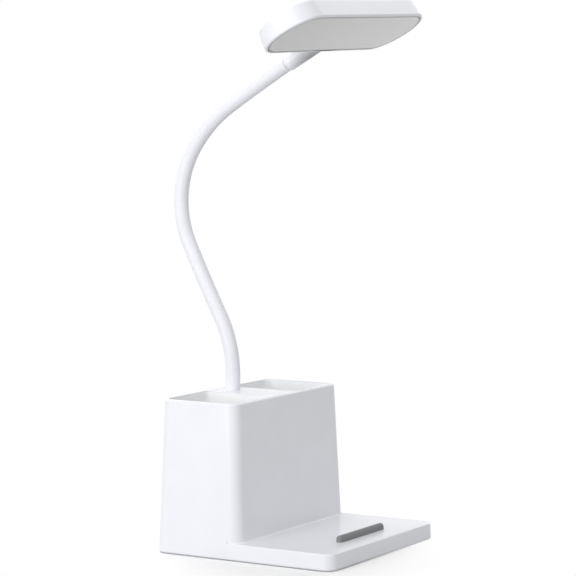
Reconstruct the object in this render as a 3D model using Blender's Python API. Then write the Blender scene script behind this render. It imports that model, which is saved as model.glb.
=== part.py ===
"""Desk lamp with a pen holder and a phone ledge, in metres, +Z up.

The origin is the middle of the base's footprint at desk level. -Y is the
front, with the phone ledge, and +X is to the right of someone sitting there.
The neck stands on the bridge between the two pen wells. It is a gooseneck in
a sleeve, built as links that turn on ball-shaped ends.
"""

import math

import bmesh
import bpy
from mathutils import Matrix, Vector

# Fits and cuts
GAP = 0.0003
OVERRUN = 0.002
ROUND_STEPS = 16

# Base moulding
BASE_WIDTH = 0.134
BASE_DEPTH = 0.133
BOX_DEPTH = 0.0643
BOX_HEIGHT = 0.0995
LEDGE_HEIGHT = 0.011
DRAFT_ANGLE = math.radians(2.0)
CORNER_RADIUS = 0.008
CORNER_STEPS = 6
WALL = 0.0022
SHELL_STAND = 0.001
BOTTOM_EDGE_RADIUS = 0.005
BOTTOM_EDGE_START = math.radians(30)
BOTTOM_RIM = 0.0024
CAVITY_CORNER_RADIUS = 0.0051
RIM_EDGE = 0.001
LEDGE_EDGE = 0.0008
EDGE_STEPS = 3
LEDGE_EDGE_RUNOUT = 0.012
BRIDGE_WIDTH = 0.028
BRIDGE_CORNER_RADIUS = 0.003

# Bottom cover, its screws and feet
COVER_THICKNESS = 0.0022
SCREW_FROM_SIDE = 0.031
SCREW_FROM_END = 0.0125
SCREW_SHANK_RADIUS = 0.0011
SCREW_HEAD_RADIUS = 0.0026
SCREW_HEAD_HEIGHT = 0.001
SCREW_BITE = 0.0048
BOSS_RADIUS = 0.0036
FOOT_RADIUS = 0.0065
FOOT_FROM_SIDE = 0.016
FOOT_FROM_END = 0.016
FOOT_SEAT_DEPTH = 0.001

# Counterweight in the ledge
WEIGHT_FROM_SIDE = 0.015
WEIGHT_FROM_FRONT = 0.021
WEIGHT_FROM_BOX = 0.0037
WEIGHT_THICKNESS = 0.0048

# Phone stop
STOP_WIDTH = 0.056
STOP_DEPTH = 0.0046
STOP_HEIGHT = 0.004
STOP_FROM_FRONT = 0.0162
STOP_SEAT_DEPTH = 0.0009

# Battery, its cradle and its contact strips
CELL_RADIUS = 0.0092
CELL_LENGTH = 0.065
CELL_FROM_BACK = 0.045
CELL_BUTTON_RADIUS = 0.003
CELL_BUTTON_HEIGHT = 0.0012
CRADLE_FLOOR = 0.0018
CRADLE_RISE = 0.003
TAB_THICKNESS = 0.0003
TAB_WIDTH = 0.004
TAB_INWARD = 0.003
TAB_OUTWARD = 0.014

# Main board, its posts and the charging port
BOARD_WIDTH = 0.021
BOARD_BOTTOM = 0.009
BOARD_TOP = 0.062
BOARD_THICKNESS = 0.0014
BOARD_FROM_BACK = 0.0072
POST_RADIUS = 0.0024
POST_X = 0.0068
POST_LOW = 0.024
POST_HIGH = 0.046
BOARD_SCREW_RADIUS = 0.0009
BOARD_SCREW_HEAD_RADIUS = 0.0017
BOARD_SCREW_HEAD_HEIGHT = 0.001
BOARD_SCREW_BITE = 0.0025
PORT_WIDTH = 0.009
PORT_HEIGHT = 0.0032
PORT_Z = 0.0165
PORT_SHELL = 0.0003
PORT_TONGUE_HEIGHT = 0.0007
PORT_TONGUE_MARGIN = 0.0009
PORT_SET_BACK = 0.0006
CHIP_THICKNESS = 0.0012
CHIP_SIZE = 0.007
CHIP_Z = 0.035

# Touch key under the bridge
TOUCH_FROM_BACK = 0.039
TOUCH_BOARD_SIZE = 0.014
TOUCH_BOARD_THICKNESS = 0.0012

# Neck
NECK_FROM_BACK = 0.0177
NECK_RADIUS = 0.0048
NECK_RISE = 0.010
NECK_BACK_LENGTH = 0.041
NECK_BACK_TURN = math.radians(-28.6)
NECK_LEAN_LENGTH = 0.052
NECK_LEAN_TURN = math.radians(3.1)
NECK_CROWN_LENGTH = 0.066
NECK_CROWN_TURN = math.radians(58.4)
NECK_BROW_LENGTH = 0.040
NECK_BROW_TURN = math.radians(24.7)
NECK_REACH_LENGTH = 0.0475
NECK_REACH_TURN = math.radians(2.4)
NECK_TIP = 0.006
NECK_JOINTS = 9
NECK_SIDES = 16
BALL_STEPS = 4
LINK_RINGS = 8

# Fitting that holds the neck in the bridge
FITTING_RADIUS = 0.0036
FITTING_BORE = 0.0019
FITTING_IN_NECK = 0.006
FITTING_DROP = 0.0135
NUT_FLATS = 0.0125
NUT_HEIGHT = 0.0048
WASHER_RADIUS = 0.0082
WASHER_THICKNESS = 0.001

# Head
HEAD_LENGTH = 0.166
HEAD_WIDTH = 0.0448
HEAD_THICKNESS = 0.0127
HEAD_TWIST = math.radians(1.9)
HEAD_SIDE_INSET = 0.0012
HEAD_TOP_EDGE = 0.0013
HEAD_BOTTOM_EDGE = 0.0013
HEAD_WALL = 0.0018
HEAD_END_STEPS = 14
SOCKET_LENGTH = 0.0245
SOCKET_MOUTH_RADIUS = 0.0055
SOCKET_ROOT_RADIUS = 0.0059
SOCKET_LIP = 0.0005
SOCKET_BITE = 0.009
DIFFUSER_RIM = 0.0003
DIFFUSER_GAP = 0.0005
DIFFUSER_THICKNESS = 0.0017
DIFFUSER_SEAT = 0.0012

# Tip fitting and nut that hold the head on the neck
TIP_RADIUS = 0.0025
TIP_BORE = 0.0012
TIP_REACH = 0.0048
TIP_NUT_FLATS = 0.0068
TIP_NUT_HEIGHT = 0.0026

# Lamp board in the head
LAMP_BOARD_LENGTH = 0.128
LAMP_BOARD_WIDTH = 0.024
LAMP_BOARD_THICKNESS = 0.001
LAMP_BOARD_FROM_TOP = 0.0022
LAMP_POST_RADIUS = 0.0021
LAMP_POST_X = 0.053
LAMP_SCREW_RADIUS = 0.0008
LAMP_SCREW_HEAD_RADIUS = 0.0016
LAMP_SCREW_HEAD_HEIGHT = 0.0008
LAMP_SCREW_BITE = 0.0015
LED_COUNT = 12
LED_PITCH = 0.0098
LED_ROW_PITCH = 0.009
LED_LENGTH = 0.0035
LED_WIDTH = 0.0028
LED_HEIGHT = 0.0007
LED_TAPE_THICKNESS = 0.0003

# Wires inside the base and the head
LEAD_RADIUS = 0.001
LEAD_SIDES = 8
LEAD_STEPS = 5
NECK_LEAD_BEND = 0.0085
NECK_LEAD_TAIL = 0.006
BATTERY_LEAD_RADIUS = 0.0008
BATTERY_LEAD_X = 0.0045
BATTERY_LEAD_DROP = 0.008
BATTERY_LEAD_STEP = 0.0045
HEAD_LEAD_RADIUS = 0.0008
HEAD_LEAD_IN_FITTING = 0.0032
HEAD_LEAD_ON_BOARD = 0.0045

# Heights and places that follow from the sizes above
DRAFT = math.tan(DRAFT_ANGLE)
NECK_Y = BASE_DEPTH / 2 - NECK_FROM_BACK
CELL_Y = BASE_DEPTH / 2 - CELL_FROM_BACK
TOUCH_Y = BASE_DEPTH / 2 - TOUCH_FROM_BACK
BOTTOM_INSET = BOTTOM_EDGE_RADIUS * (1 - math.sin(BOTTOM_EDGE_START))
CAVITY_INSET = BOTTOM_INSET + BOTTOM_RIM
CAVITY_TOP = LEDGE_HEIGHT - WALL
COVER_TOP = SHELL_STAND + COVER_THICKNESS
CHANNEL_HALF = BRIDGE_WIDTH / 2 - WALL
CHANNEL_TOP = BOX_HEIGHT - WALL
WELL_FLOOR = LEDGE_HEIGHT
BOARD_FACE_Y = BASE_DEPTH / 2 - BOARD_FROM_BACK - BOARD_THICKNESS
CUP_RADIUS = NECK_RADIUS + GAP
CUP_RIM_HEIGHT = math.sqrt(CUP_RADIUS**2 - NECK_RADIUS**2)

FINISHES = {
    "white_plastic": ((0.90, 0.90, 0.91), 0.30, 0.0),
    "white_silicone": ((0.86, 0.86, 0.87), 0.50, 0.0),
    "diffuser_plastic": ((0.82, 0.82, 0.82), 0.45, 0.0),
    "grey_rubber": ((0.22, 0.23, 0.23), 0.55, 0.0),
    "dark_rubber": ((0.05, 0.05, 0.05), 0.80, 0.0),
    "steel": ((0.62, 0.62, 0.64), 0.35, 1.0),
    "aluminium": ((0.78, 0.79, 0.80), 0.40, 1.0),
    "copper": ((0.85, 0.50, 0.33), 0.35, 1.0),
    "circuit_board": ((0.05, 0.30, 0.14), 0.50, 0.0),
    "chip_black": ((0.03, 0.03, 0.03), 0.45, 0.0),
    "led_yellow": ((0.95, 0.85, 0.35), 0.35, 0.0),
    "cell_wrap": ((0.10, 0.28, 0.60), 0.40, 0.0),
    "cradle_grey": ((0.45, 0.46, 0.48), 0.50, 0.0),
    "wire_red": ((0.60, 0.06, 0.05), 0.50, 0.0),
    "wire_white": ((0.80, 0.80, 0.80), 0.50, 0.0),
}


def clear_scene():
    for obj in list(bpy.data.objects):
        bpy.data.objects.remove(obj, do_unlink=True)


def material(finish):
    """The Principled material of a finish, made once."""
    if finish in bpy.data.materials:
        return bpy.data.materials[finish]
    colour, roughness, metallic = FINISHES[finish]
    made = bpy.data.materials.new(finish)
    made.use_nodes = True
    shader = made.node_tree.nodes["Principled BSDF"]
    shader.inputs["Base Color"].default_value = (*colour, 1.0)
    shader.inputs["Roughness"].default_value = roughness
    shader.inputs["Metallic"].default_value = metallic
    return made


def add_object(name, bm, finish, parent=None, location=(0, 0, 0), rotation=None):
    """A mesh object from bm, smooth over its round faces."""
    bmesh.ops.recalc_face_normals(bm, faces=bm.faces)
    mesh = bpy.data.meshes.new(name)
    bm.to_mesh(mesh)
    bm.free()
    mesh.shade_smooth()
    mesh.set_sharp_from_angle(angle=math.radians(35))
    obj = bpy.data.objects.new(name, mesh)
    bpy.context.scene.collection.objects.link(obj)
    obj.data.materials.append(material(finish))
    obj.parent = parent
    obj.location = location
    if rotation is not None:
        obj.rotation_euler = rotation
    return obj


def hide(obj):
    obj.hide_render = True
    obj.display_type = "WIRE"
    return obj


def boolean(target, other, operation):
    """Joins or cuts target with other, which stays as a hidden helper."""
    modifier = target.modifiers.new(other.name, "BOOLEAN")
    modifier.object = hide(other)
    modifier.operation = operation
    modifier.solver = "EXACT"


def cut(target, other):
    boolean(target, other, "DIFFERENCE")


def join(target, other):
    boolean(target, other, "UNION")


def arc(centre, radius, start, end, steps):
    """Points on an arc, angles in radians from +X."""
    points = []
    for k in range(steps + 1):
        angle = start + (end - start) * k / steps
        points.append((centre[0] + radius * math.cos(angle), centre[1] + radius * math.sin(angle)))
    return points


def rounded_box_outline(low, high, radii, steps=CORNER_STEPS):
    """A rectangle with round corners: rear right, rear left, front left, front right."""
    quarter = math.pi / 2
    corners = (
        (high[0], high[1], -1, -1),
        (low[0], high[1], 1, -1),
        (low[0], low[1], 1, 1),
        (high[0], low[1], -1, 1),
    )
    points = []
    for number, (x, y, toward_x, toward_y) in enumerate(corners):
        radius = radii[number]
        centre = (x + toward_x * radius, y + toward_y * radius)
        points += arc(centre, radius, number * quarter, (number + 1) * quarter, steps)
    return points


def round_ended_outline(centre, length, width, steps):
    """An outline along X with a half circle at each end."""
    radius = width / 2
    straight = length / 2 - radius
    quarter = math.pi / 2
    points = arc((centre[0] + straight, centre[1]), radius, -quarter, quarter, steps)
    return points + arc((centre[0] - straight, centre[1]), radius, quarter, 3 * quarter, steps)


def at_height(points, height):
    return [Vector((x, y, height)) for x, y in points]


def circle(radius, height, sides=ROUND_STEPS, centre=(0, 0), turn=0.0):
    """A ring of points round the Z axis."""
    ring = []
    for k in range(sides):
        angle = turn + 2 * math.pi * k / sides
        x = centre[0] + radius * math.cos(angle)
        ring.append(Vector((x, centre[1] + radius * math.sin(angle), height)))
    return ring


def add_rings(bm, rings, closed=False):
    """Skins a list of rings, with flat ends, or end to end where closed."""
    made = [[bm.verts.new(point) for point in ring] for ring in rings]
    pairs = list(zip(made, made[1:]))
    if closed:
        pairs.append((made[-1], made[0]))
    for lower, upper in pairs:
        count = len(lower)
        for k in range(count):
            following = (k + 1) % count
            bm.faces.new((lower[k], lower[following], upper[following], upper[k]))
    if not closed:
        bm.faces.new(list(reversed(made[0])))
        bm.faces.new(made[-1])
    return made


def skin(rings, closed=False):
    bm = bmesh.new()
    add_rings(bm, rings, closed)
    return bm


def turned(profile, sides=ROUND_STEPS, closed=False, centre=(0, 0), turn=0.0):
    """A turned solid from (radius, height) pairs, hollow where closed."""
    return skin([circle(radius, height, sides, centre, turn) for radius, height in profile], closed)


def add_block(bm, low, high):
    """An axis-aligned block."""
    rings = []
    for z in (low[2], high[2]):
        corners = ((low[0], low[1]), (high[0], low[1]), (high[0], high[1]), (low[0], high[1]))
        rings.append(at_height(corners, z))
    add_rings(bm, rings)


def block(low, high):
    bm = bmesh.new()
    add_block(bm, low, high)
    return bm


def add_cylinder(bm, low, high, radius, centre, sides=ROUND_STEPS):
    add_rings(bm, [circle(radius, z, sides, centre) for z in (low, high)])


def add_cylinder_along_y(bm, low, high, radius, x, z, sides=ROUND_STEPS):
    rings = []
    for y in (low, high):
        rings.append([Vector((x + p.x, y, z - p.y)) for p in circle(radius, 0, sides)])
    add_rings(bm, rings)


# The base's outline at a height. The walls lean in by the draft going up.


def side_x(z):
    return BASE_WIDTH / 2 - DRAFT * z


def back_y(z):
    return BASE_DEPTH / 2 - DRAFT * z


def ledge_front_y(z):
    return DRAFT * z - BASE_DEPTH / 2


def box_front_y(z):
    return BASE_DEPTH / 2 - BOX_DEPTH + DRAFT * z


def box_outline(z, inset):
    """The tall box's outline: rear right, rear left, front left and front right arcs."""
    low = (inset - side_x(z), box_front_y(z) + inset)
    high = (side_x(z) - inset, back_y(z) - inset)
    return rounded_box_outline(low, high, [CORNER_RADIUS - inset] * 4)


def footprint_outline(z, inset, front_inset):
    """The full outline. Its rear half is the box's, so that both share their side walls."""
    rear = box_outline(z, inset)
    rear_count = 2 * (CORNER_STEPS + 1)
    shared_y = box_front_y(z) + CORNER_RADIUS
    x = side_x(z)
    low = (front_inset - x, ledge_front_y(z) + front_inset)
    high = (x - front_inset, back_y(z))
    front = rounded_box_outline(low, high, [CORNER_RADIUS - front_inset] * 4)[rear_count:]
    runout_y = shared_y - LEDGE_EDGE_RUNOUT
    left = [(inset - x, shared_y), (front_inset - x, runout_y)]
    right = [(x - front_inset, runout_y), (x - inset, shared_y)]
    return rear[:rear_count] + left + front + right


def quarter_edge(radius, steps):
    """(inset, drop) pairs of a round edge, from the wall up to the flat."""
    pairs = []
    for k in range(1, steps + 1):
        angle = math.pi / 2 * k / steps
        pairs.append((radius * (1 - math.cos(angle)), radius * (1 - math.sin(angle))))
    return pairs


def base_skin():
    """The outside of the base as one closed skin: ledge, tall box and bottom edge."""
    bm = bmesh.new()
    bottom = []
    for k in range(EDGE_STEPS + 1):
        angle = BOTTOM_EDGE_START + (math.pi / 2 - BOTTOM_EDGE_START) * k / EDGE_STEPS
        inset = BOTTOM_EDGE_RADIUS * (1 - math.sin(angle))
        z = SHELL_STAND + BOTTOM_EDGE_RADIUS * (math.cos(BOTTOM_EDGE_START) - math.cos(angle))
        bottom.append((z, inset, inset))
    ledge = [(LEDGE_HEIGHT - LEDGE_EDGE, 0, 0)]
    ledge += [(LEDGE_HEIGHT - drop, 0, inset) for inset, drop in quarter_edge(LEDGE_EDGE, 2)]
    rings = []
    for z, inset, front_inset in bottom + ledge:
        outline = footprint_outline(z, inset, front_inset)
        rings.append([bm.verts.new(point) for point in at_height(outline, z)])
    bm.faces.new(list(reversed(rings[0])))

    rear_count = 2 * (CORNER_STEPS + 1)
    shared = rings[-1][:rear_count]
    left_join = rings[-1][rear_count]
    right_join = rings[-1][-1]
    front = box_outline(LEDGE_HEIGHT, 0)[rear_count:]
    front = [bm.verts.new(point) for point in at_height(front, LEDGE_HEIGHT)[1:-1]]
    bm.faces.new(rings[-1][rear_count:] + list(reversed(front)))

    box = [shared + [left_join] + front + [right_join]]
    box_levels = [(BOX_HEIGHT - RIM_EDGE, 0)]
    box_levels += [(BOX_HEIGHT - drop, inset) for inset, drop in quarter_edge(RIM_EDGE, EDGE_STEPS)]
    for z, inset in box_levels:
        box.append([bm.verts.new(point) for point in at_height(box_outline(z, inset), z)])
    bm.faces.new(box[-1])
    for group in (rings, box):
        for lower, upper in zip(group, group[1:]):
            for k in range(len(lower)):
                following = (k + 1) % len(lower)
                bm.faces.new((lower[k], lower[following], upper[following], upper[k]))
    return bm


def well_cutter(side):
    """The hollow of one pen well: side -1 is the left one, 1 the right one."""
    inner_x = side * BRIDGE_WIDTH / 2
    outer_x = side * (side_x(BOX_HEIGHT) - WALL)
    low = (min(inner_x, outer_x), box_front_y(BOX_HEIGHT) + WALL)
    high = (max(inner_x, outer_x), back_y(BOX_HEIGHT) - WALL)
    outer_radius = CORNER_RADIUS - WALL
    if side < 0:
        radii = [BRIDGE_CORNER_RADIUS, outer_radius, outer_radius, BRIDGE_CORNER_RADIUS]
    else:
        radii = [outer_radius, BRIDGE_CORNER_RADIUS, BRIDGE_CORNER_RADIUS, outer_radius]
    outline = rounded_box_outline(low, high, radii, CORNER_STEPS - 2)
    return skin([at_height(outline, WELL_FLOOR), at_height(outline, BOX_HEIGHT + OVERRUN)])


def cavity_outline(clearance=0.0):
    """The hollow under the base, which the bottom cover fits into."""
    inset = CAVITY_INSET + clearance
    low = (inset - side_x(0), ledge_front_y(0) + inset)
    high = (side_x(0) - inset, back_y(0) - inset)
    return rounded_box_outline(low, high, [CAVITY_CORNER_RADIUS] * 4, CORNER_STEPS - 2)


def channel_cutter():
    """The hollow under the bridge, drafted like the outer walls."""
    rings = []
    for z in (CAVITY_TOP - WALL, CHANNEL_TOP):
        low = (-CHANNEL_HALF, box_front_y(z) + WALL)
        high = (CHANNEL_HALF, back_y(z) - WALL)
        rings.append(at_height(rounded_box_outline(low, high, [BRIDGE_CORNER_RADIUS] * 4, 2), z))
    return skin(rings)


def four_places(x, y):
    """The corners of a rectangle round the middle, by name."""
    return {"front_left": (-x, -y), "front_right": (x, -y), "rear_left": (-x, y), "rear_right": (x, y)}


def screw_places():
    return four_places(BASE_WIDTH / 2 - SCREW_FROM_SIDE, BASE_DEPTH / 2 - SCREW_FROM_END)


def foot_places():
    return four_places(BASE_WIDTH / 2 - FOOT_FROM_SIDE, BASE_DEPTH / 2 - FOOT_FROM_END)


def post_places():
    """The main board's two posts as (x, z), by name."""
    return {"low": (-POST_X, POST_LOW), "high": (POST_X, POST_HIGH)}


def stop_y():
    return STOP_FROM_FRONT - BASE_DEPTH / 2 + STOP_DEPTH / 2


def stop_outline(clearance):
    margin = 2 * clearance
    return round_ended_outline((0, stop_y()), STOP_WIDTH + margin, STOP_DEPTH + margin, 2 * CORNER_STEPS)


def slot_along_y(low, high, width, height, z):
    """A block along Y with round ends in X, for the charging port."""
    outline = round_ended_outline((0, 0), width, height, CORNER_STEPS)
    return skin([[Vector((x, y, z - v)) for x, v in outline] for y in (low, high)])


def build_base_shell():
    shell = add_object("base_shell", base_skin(), "white_plastic")
    for side, name in ((-1, "left_well_cutter"), (1, "right_well_cutter")):
        cut(shell, add_object(name, well_cutter(side), "white_plastic"))
    cavity = skin([at_height(cavity_outline(), -OVERRUN), at_height(cavity_outline(), CAVITY_TOP)])
    cut(shell, add_object("cavity_cutter", cavity, "white_plastic"))
    cut(shell, add_object("channel_cutter", channel_cutter(), "white_plastic"))

    bosses = bmesh.new()
    for place in screw_places().values():
        add_cylinder(bosses, COVER_TOP + GAP, CAVITY_TOP + WALL / 2, BOSS_RADIUS, place)
    for x, z in post_places().values():
        wall_y = back_y(z) - WALL / 2
        add_cylinder_along_y(bosses, BOARD_FACE_Y + BOARD_THICKNESS + GAP, wall_y, POST_RADIUS, x, z)
    join(shell, add_object("boss_bodies", bosses, "white_plastic"))

    holes = bmesh.new()
    for place in screw_places().values():
        add_cylinder(holes, 0, COVER_TOP + SCREW_BITE + GAP, SCREW_SHANK_RADIUS + GAP, place)
    for x, z in post_places().values():
        depth = BOARD_FACE_Y + BOARD_THICKNESS + BOARD_SCREW_BITE + GAP
        add_cylinder_along_y(holes, BOARD_FACE_Y, depth, BOARD_SCREW_RADIUS + GAP, x, z, ROUND_STEPS // 2)
    add_cylinder(holes, CHANNEL_TOP - OVERRUN, BOX_HEIGHT + OVERRUN, FITTING_RADIUS + GAP, (0, NECK_Y))
    cut(shell, add_object("hole_cutter", holes, "white_plastic"))

    seat_levels = (LEDGE_HEIGHT - STOP_SEAT_DEPTH - GAP, LEDGE_HEIGHT + OVERRUN)
    seat = skin([at_height(stop_outline(GAP), z) for z in seat_levels])
    cut(shell, add_object("stop_seat_cutter", seat, "white_plastic"))
    low = BASE_DEPTH / 2 - BOARD_FROM_BACK
    width = PORT_WIDTH + 2 * GAP
    port = slot_along_y(low, BASE_DEPTH / 2 + OVERRUN, width, PORT_HEIGHT + 2 * GAP, PORT_Z)
    cut(shell, add_object("port_cutter", port, "white_plastic"))
    return shell


def build_bottom_cover():
    outline = cavity_outline(GAP)
    plate = skin([at_height(outline, SHELL_STAND), at_height(outline, COVER_TOP)])
    cover = add_object("bottom_cover", plate, "white_plastic")
    holes = bmesh.new()
    for place in screw_places().values():
        head_top = SHELL_STAND + SCREW_HEAD_HEIGHT + GAP
        profile = (
            (SCREW_HEAD_RADIUS + GAP, SHELL_STAND - OVERRUN),
            (SCREW_HEAD_RADIUS + GAP, head_top),
            (SCREW_SHANK_RADIUS + GAP, head_top),
            (SCREW_SHANK_RADIUS + GAP, COVER_TOP + OVERRUN),
        )
        add_rings(holes, [circle(radius, z, ROUND_STEPS, place) for radius, z in profile])
    seat_top = SHELL_STAND + FOOT_SEAT_DEPTH + GAP
    for place in foot_places().values():
        add_cylinder(holes, SHELL_STAND - OVERRUN, seat_top, FOOT_RADIUS + GAP, place)
    cut(cover, add_object("cover_hole_cutter", holes, "white_plastic"))


def build_feet():
    edge = SHELL_STAND / 2
    seat_top = SHELL_STAND + FOOT_SEAT_DEPTH
    profile = ((FOOT_RADIUS - edge, 0), (FOOT_RADIUS, edge), (FOOT_RADIUS, seat_top))
    for corner, place in foot_places().items():
        add_object(f"foot_{corner}", turned(profile, centre=place), "dark_rubber")


def build_cover_screws():
    head_top = SHELL_STAND + SCREW_HEAD_HEIGHT
    profile = (
        (SCREW_HEAD_RADIUS, SHELL_STAND),
        (SCREW_HEAD_RADIUS, head_top),
        (SCREW_SHANK_RADIUS, head_top),
        (SCREW_SHANK_RADIUS, COVER_TOP + SCREW_BITE),
    )
    for corner, place in screw_places().items():
        add_object(f"cover_screw_{corner}", turned(profile, centre=place), "steel")


def build_counterweight():
    half_width = BASE_WIDTH / 2 - WEIGHT_FROM_SIDE
    low = (-half_width, WEIGHT_FROM_FRONT - BASE_DEPTH / 2, COVER_TOP + GAP)
    high = (half_width, box_front_y(0) - WEIGHT_FROM_BOX, COVER_TOP + GAP + WEIGHT_THICKNESS)
    outline = rounded_box_outline(low, high, [BRIDGE_CORNER_RADIUS] * 4, 2)
    add_object("counterweight", skin([at_height(outline, low[2]), at_height(outline, high[2])]), "steel")


def build_phone_stop():
    """A soft bar with round ends and a rounded top, pressed into a seat in the ledge."""
    top = LEDGE_HEIGHT + STOP_HEIGHT
    edge = STOP_DEPTH / 2
    rings = [at_height(stop_outline(0), LEDGE_HEIGHT - STOP_SEAT_DEPTH)]
    rings.append(at_height(stop_outline(0), top - edge))
    for inset, drop in quarter_edge(edge, EDGE_STEPS + 1)[:-1]:
        rings.append(at_height(stop_outline(-inset), top - drop))
    add_object("phone_stop", skin(rings), "grey_rubber")


def build_battery():
    floor = COVER_TOP + GAP + CRADLE_FLOOR
    low = floor + 2 * GAP + TAB_THICKNESS
    top = low + CELL_LENGTH
    profile = (
        (CELL_RADIUS, low),
        (CELL_RADIUS, top),
        (CELL_BUTTON_RADIUS, top),
        (CELL_BUTTON_RADIUS, top + CELL_BUTTON_HEIGHT),
    )
    add_object("battery_cell", turned(profile, ROUND_STEPS, centre=(0, CELL_Y)), "cell_wrap")

    half = CHANNEL_HALF - GAP
    corners = [BRIDGE_CORNER_RADIUS] * 4
    outline = rounded_box_outline((-half, CELL_Y - half), (half, CELL_Y + half), corners, 2)
    cradle = skin([at_height(outline, COVER_TOP + GAP), at_height(outline, top + CRADLE_RISE)])
    cradle = add_object("battery_cradle", cradle, "cradle_grey")
    bore = bmesh.new()
    add_cylinder(bore, floor, top + CRADLE_RISE + OVERRUN, CELL_RADIUS + GAP, (0, CELL_Y))
    cut(cradle, add_object("cradle_bore_cutter", bore, "cradle_grey"))
    half = TAB_WIDTH / 2 + GAP
    slot_end = CELL_Y + CHANNEL_HALF + OVERRUN
    slot = block((-half, CELL_Y, floor), (half, slot_end, top + CRADLE_RISE + OVERRUN))
    cut(cradle, add_object("cradle_slot_cutter", slot, "cradle_grey"))

    tab_tops = []
    tab_lows = {"battery_tab_low": floor + GAP, "battery_tab_high": top + CELL_BUTTON_HEIGHT + GAP}
    for name, tab_low in tab_lows.items():
        near = (-TAB_WIDTH / 2, CELL_Y - TAB_INWARD, tab_low)
        tab_tops.append(tab_low + TAB_THICKNESS)
        add_object(name, block(near, (TAB_WIDTH / 2, CELL_Y + TAB_OUTWARD, tab_tops[-1])), "steel")
    return tab_tops


def build_main_board():
    low = (-BOARD_WIDTH / 2, BOARD_FACE_Y, BOARD_BOTTOM)
    high = (BOARD_WIDTH / 2, BOARD_FACE_Y + BOARD_THICKNESS, BOARD_TOP)
    board = add_object("main_board", block(low, high), "circuit_board")
    holes = bmesh.new()
    front = BOARD_FACE_Y - OVERRUN
    rear = BOARD_FACE_Y + BOARD_THICKNESS + OVERRUN
    for x, z in post_places().values():
        add_cylinder_along_y(holes, front, rear, BOARD_SCREW_RADIUS + GAP, x, z, ROUND_STEPS // 2)
    cut(board, add_object("board_hole_cutter", holes, "circuit_board"))

    head = BOARD_FACE_Y - GAP
    profile = (
        (BOARD_SCREW_HEAD_RADIUS, head - BOARD_SCREW_HEAD_HEIGHT),
        (BOARD_SCREW_HEAD_RADIUS, head),
        (BOARD_SCREW_RADIUS, head),
        (BOARD_SCREW_RADIUS, BOARD_FACE_Y + BOARD_THICKNESS + BOARD_SCREW_BITE),
    )
    for level, (x, z) in post_places().items():
        rings = []
        for radius, y in profile:
            rings.append([Vector((x + p.x, y, z - p.y)) for p in circle(radius, 0, ROUND_STEPS // 2)])
        add_object(f"board_screw_{level}", skin(rings), "steel")

    half = CHIP_SIZE / 2
    chip = block((-half, head - CHIP_THICKNESS, CHIP_Z - half), (half, head, CHIP_Z + half))
    add_object("charge_chip", chip, "chip_black")


def build_charging_port():
    """The socket's metal shell and its tongue, on the board's rear face."""
    front = BOARD_FACE_Y + BOARD_THICKNESS + GAP
    rear = back_y(PORT_Z) - PORT_SET_BACK
    port = add_object("charging_port", slot_along_y(front, rear, PORT_WIDTH, PORT_HEIGHT, PORT_Z), "steel")
    both = 2 * PORT_SHELL
    bore = slot_along_y(front + PORT_SHELL, rear + OVERRUN, PORT_WIDTH - both, PORT_HEIGHT - both, PORT_Z)
    cut(port, add_object("port_bore_cutter", bore, "steel"))
    half = PORT_WIDTH / 2 - PORT_SHELL - PORT_TONGUE_MARGIN
    low = (-half, front + PORT_SHELL + GAP, PORT_Z - PORT_TONGUE_HEIGHT / 2)
    high = (half, rear - PORT_TONGUE_MARGIN, PORT_Z + PORT_TONGUE_HEIGHT / 2)
    add_object("port_tongue", block(low, high), "chip_black")


def build_touch_board():
    half = TOUCH_BOARD_SIZE / 2
    top = CHANNEL_TOP - GAP
    low = (-half, TOUCH_Y - half, top - TOUCH_BOARD_THICKNESS)
    add_object("touch_board", block(low, (half, TOUCH_Y + half, top)), "circuit_board")


def build_neck_fixing():
    """The threaded fitting through the bridge, with its washer and nut."""
    top = BOX_HEIGHT + GAP + FITTING_IN_NECK
    low = CHANNEL_TOP - FITTING_DROP
    profile = ((FITTING_BORE, low), (FITTING_RADIUS, low), (FITTING_RADIUS, top), (FITTING_BORE, top))
    add_object("neck_fitting", turned(profile, ROUND_STEPS, True, (0, NECK_Y)), "steel")

    inner = FITTING_RADIUS + GAP
    washer_top = CHANNEL_TOP - GAP
    washer_low = washer_top - WASHER_THICKNESS
    profile = (
        (inner, washer_low),
        (WASHER_RADIUS, washer_low),
        (WASHER_RADIUS, washer_top),
        (inner, washer_top),
    )
    add_object("neck_washer", turned(profile, ROUND_STEPS, True, (0, NECK_Y)), "steel")
    nut_top = washer_low - GAP
    fixing_nut = nut(NUT_FLATS, inner, nut_top - NUT_HEIGHT, nut_top, (0, NECK_Y))
    add_object("neck_nut", fixing_nut, "steel")


def hexagon_point(flats, angle):
    """The distance to a hexagon's side at an angle from a corner."""
    sector = (angle % (math.pi / 3)) - math.pi / 6
    return flats / 2 / math.cos(sector)


def nut(flats, inner, low, high, centre=(0, 0)):
    """A hexagon nut with a round hole, along Z."""
    sides = 24
    rings = []
    for z, outer in ((low, False), (low, True), (high, True), (high, False)):
        ring = []
        for k in range(sides):
            angle = 2 * math.pi * k / sides
            radius = hexagon_point(flats, angle) if outer else inner
            x = centre[0] + radius * math.cos(angle)
            ring.append(Vector((x, centre[1] + radius * math.sin(angle), z)))
        rings.append(ring)
    return skin(rings, True)


# The neck's middle line, a run of arcs in the plane x = 0. Its heading is
# measured from straight up, towards the front.


def neck_stretches():
    return (
        (NECK_RISE, 0.0),
        (NECK_BACK_LENGTH, NECK_BACK_TURN),
        (NECK_LEAN_LENGTH, NECK_LEAN_TURN),
        (NECK_CROWN_LENGTH, NECK_CROWN_TURN),
        (NECK_BROW_LENGTH, NECK_BROW_TURN),
        (NECK_REACH_LENGTH, NECK_REACH_TURN),
        (NECK_TIP, 0.0),
    )


def neck_length():
    return sum(length for length, turn in neck_stretches())


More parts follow.
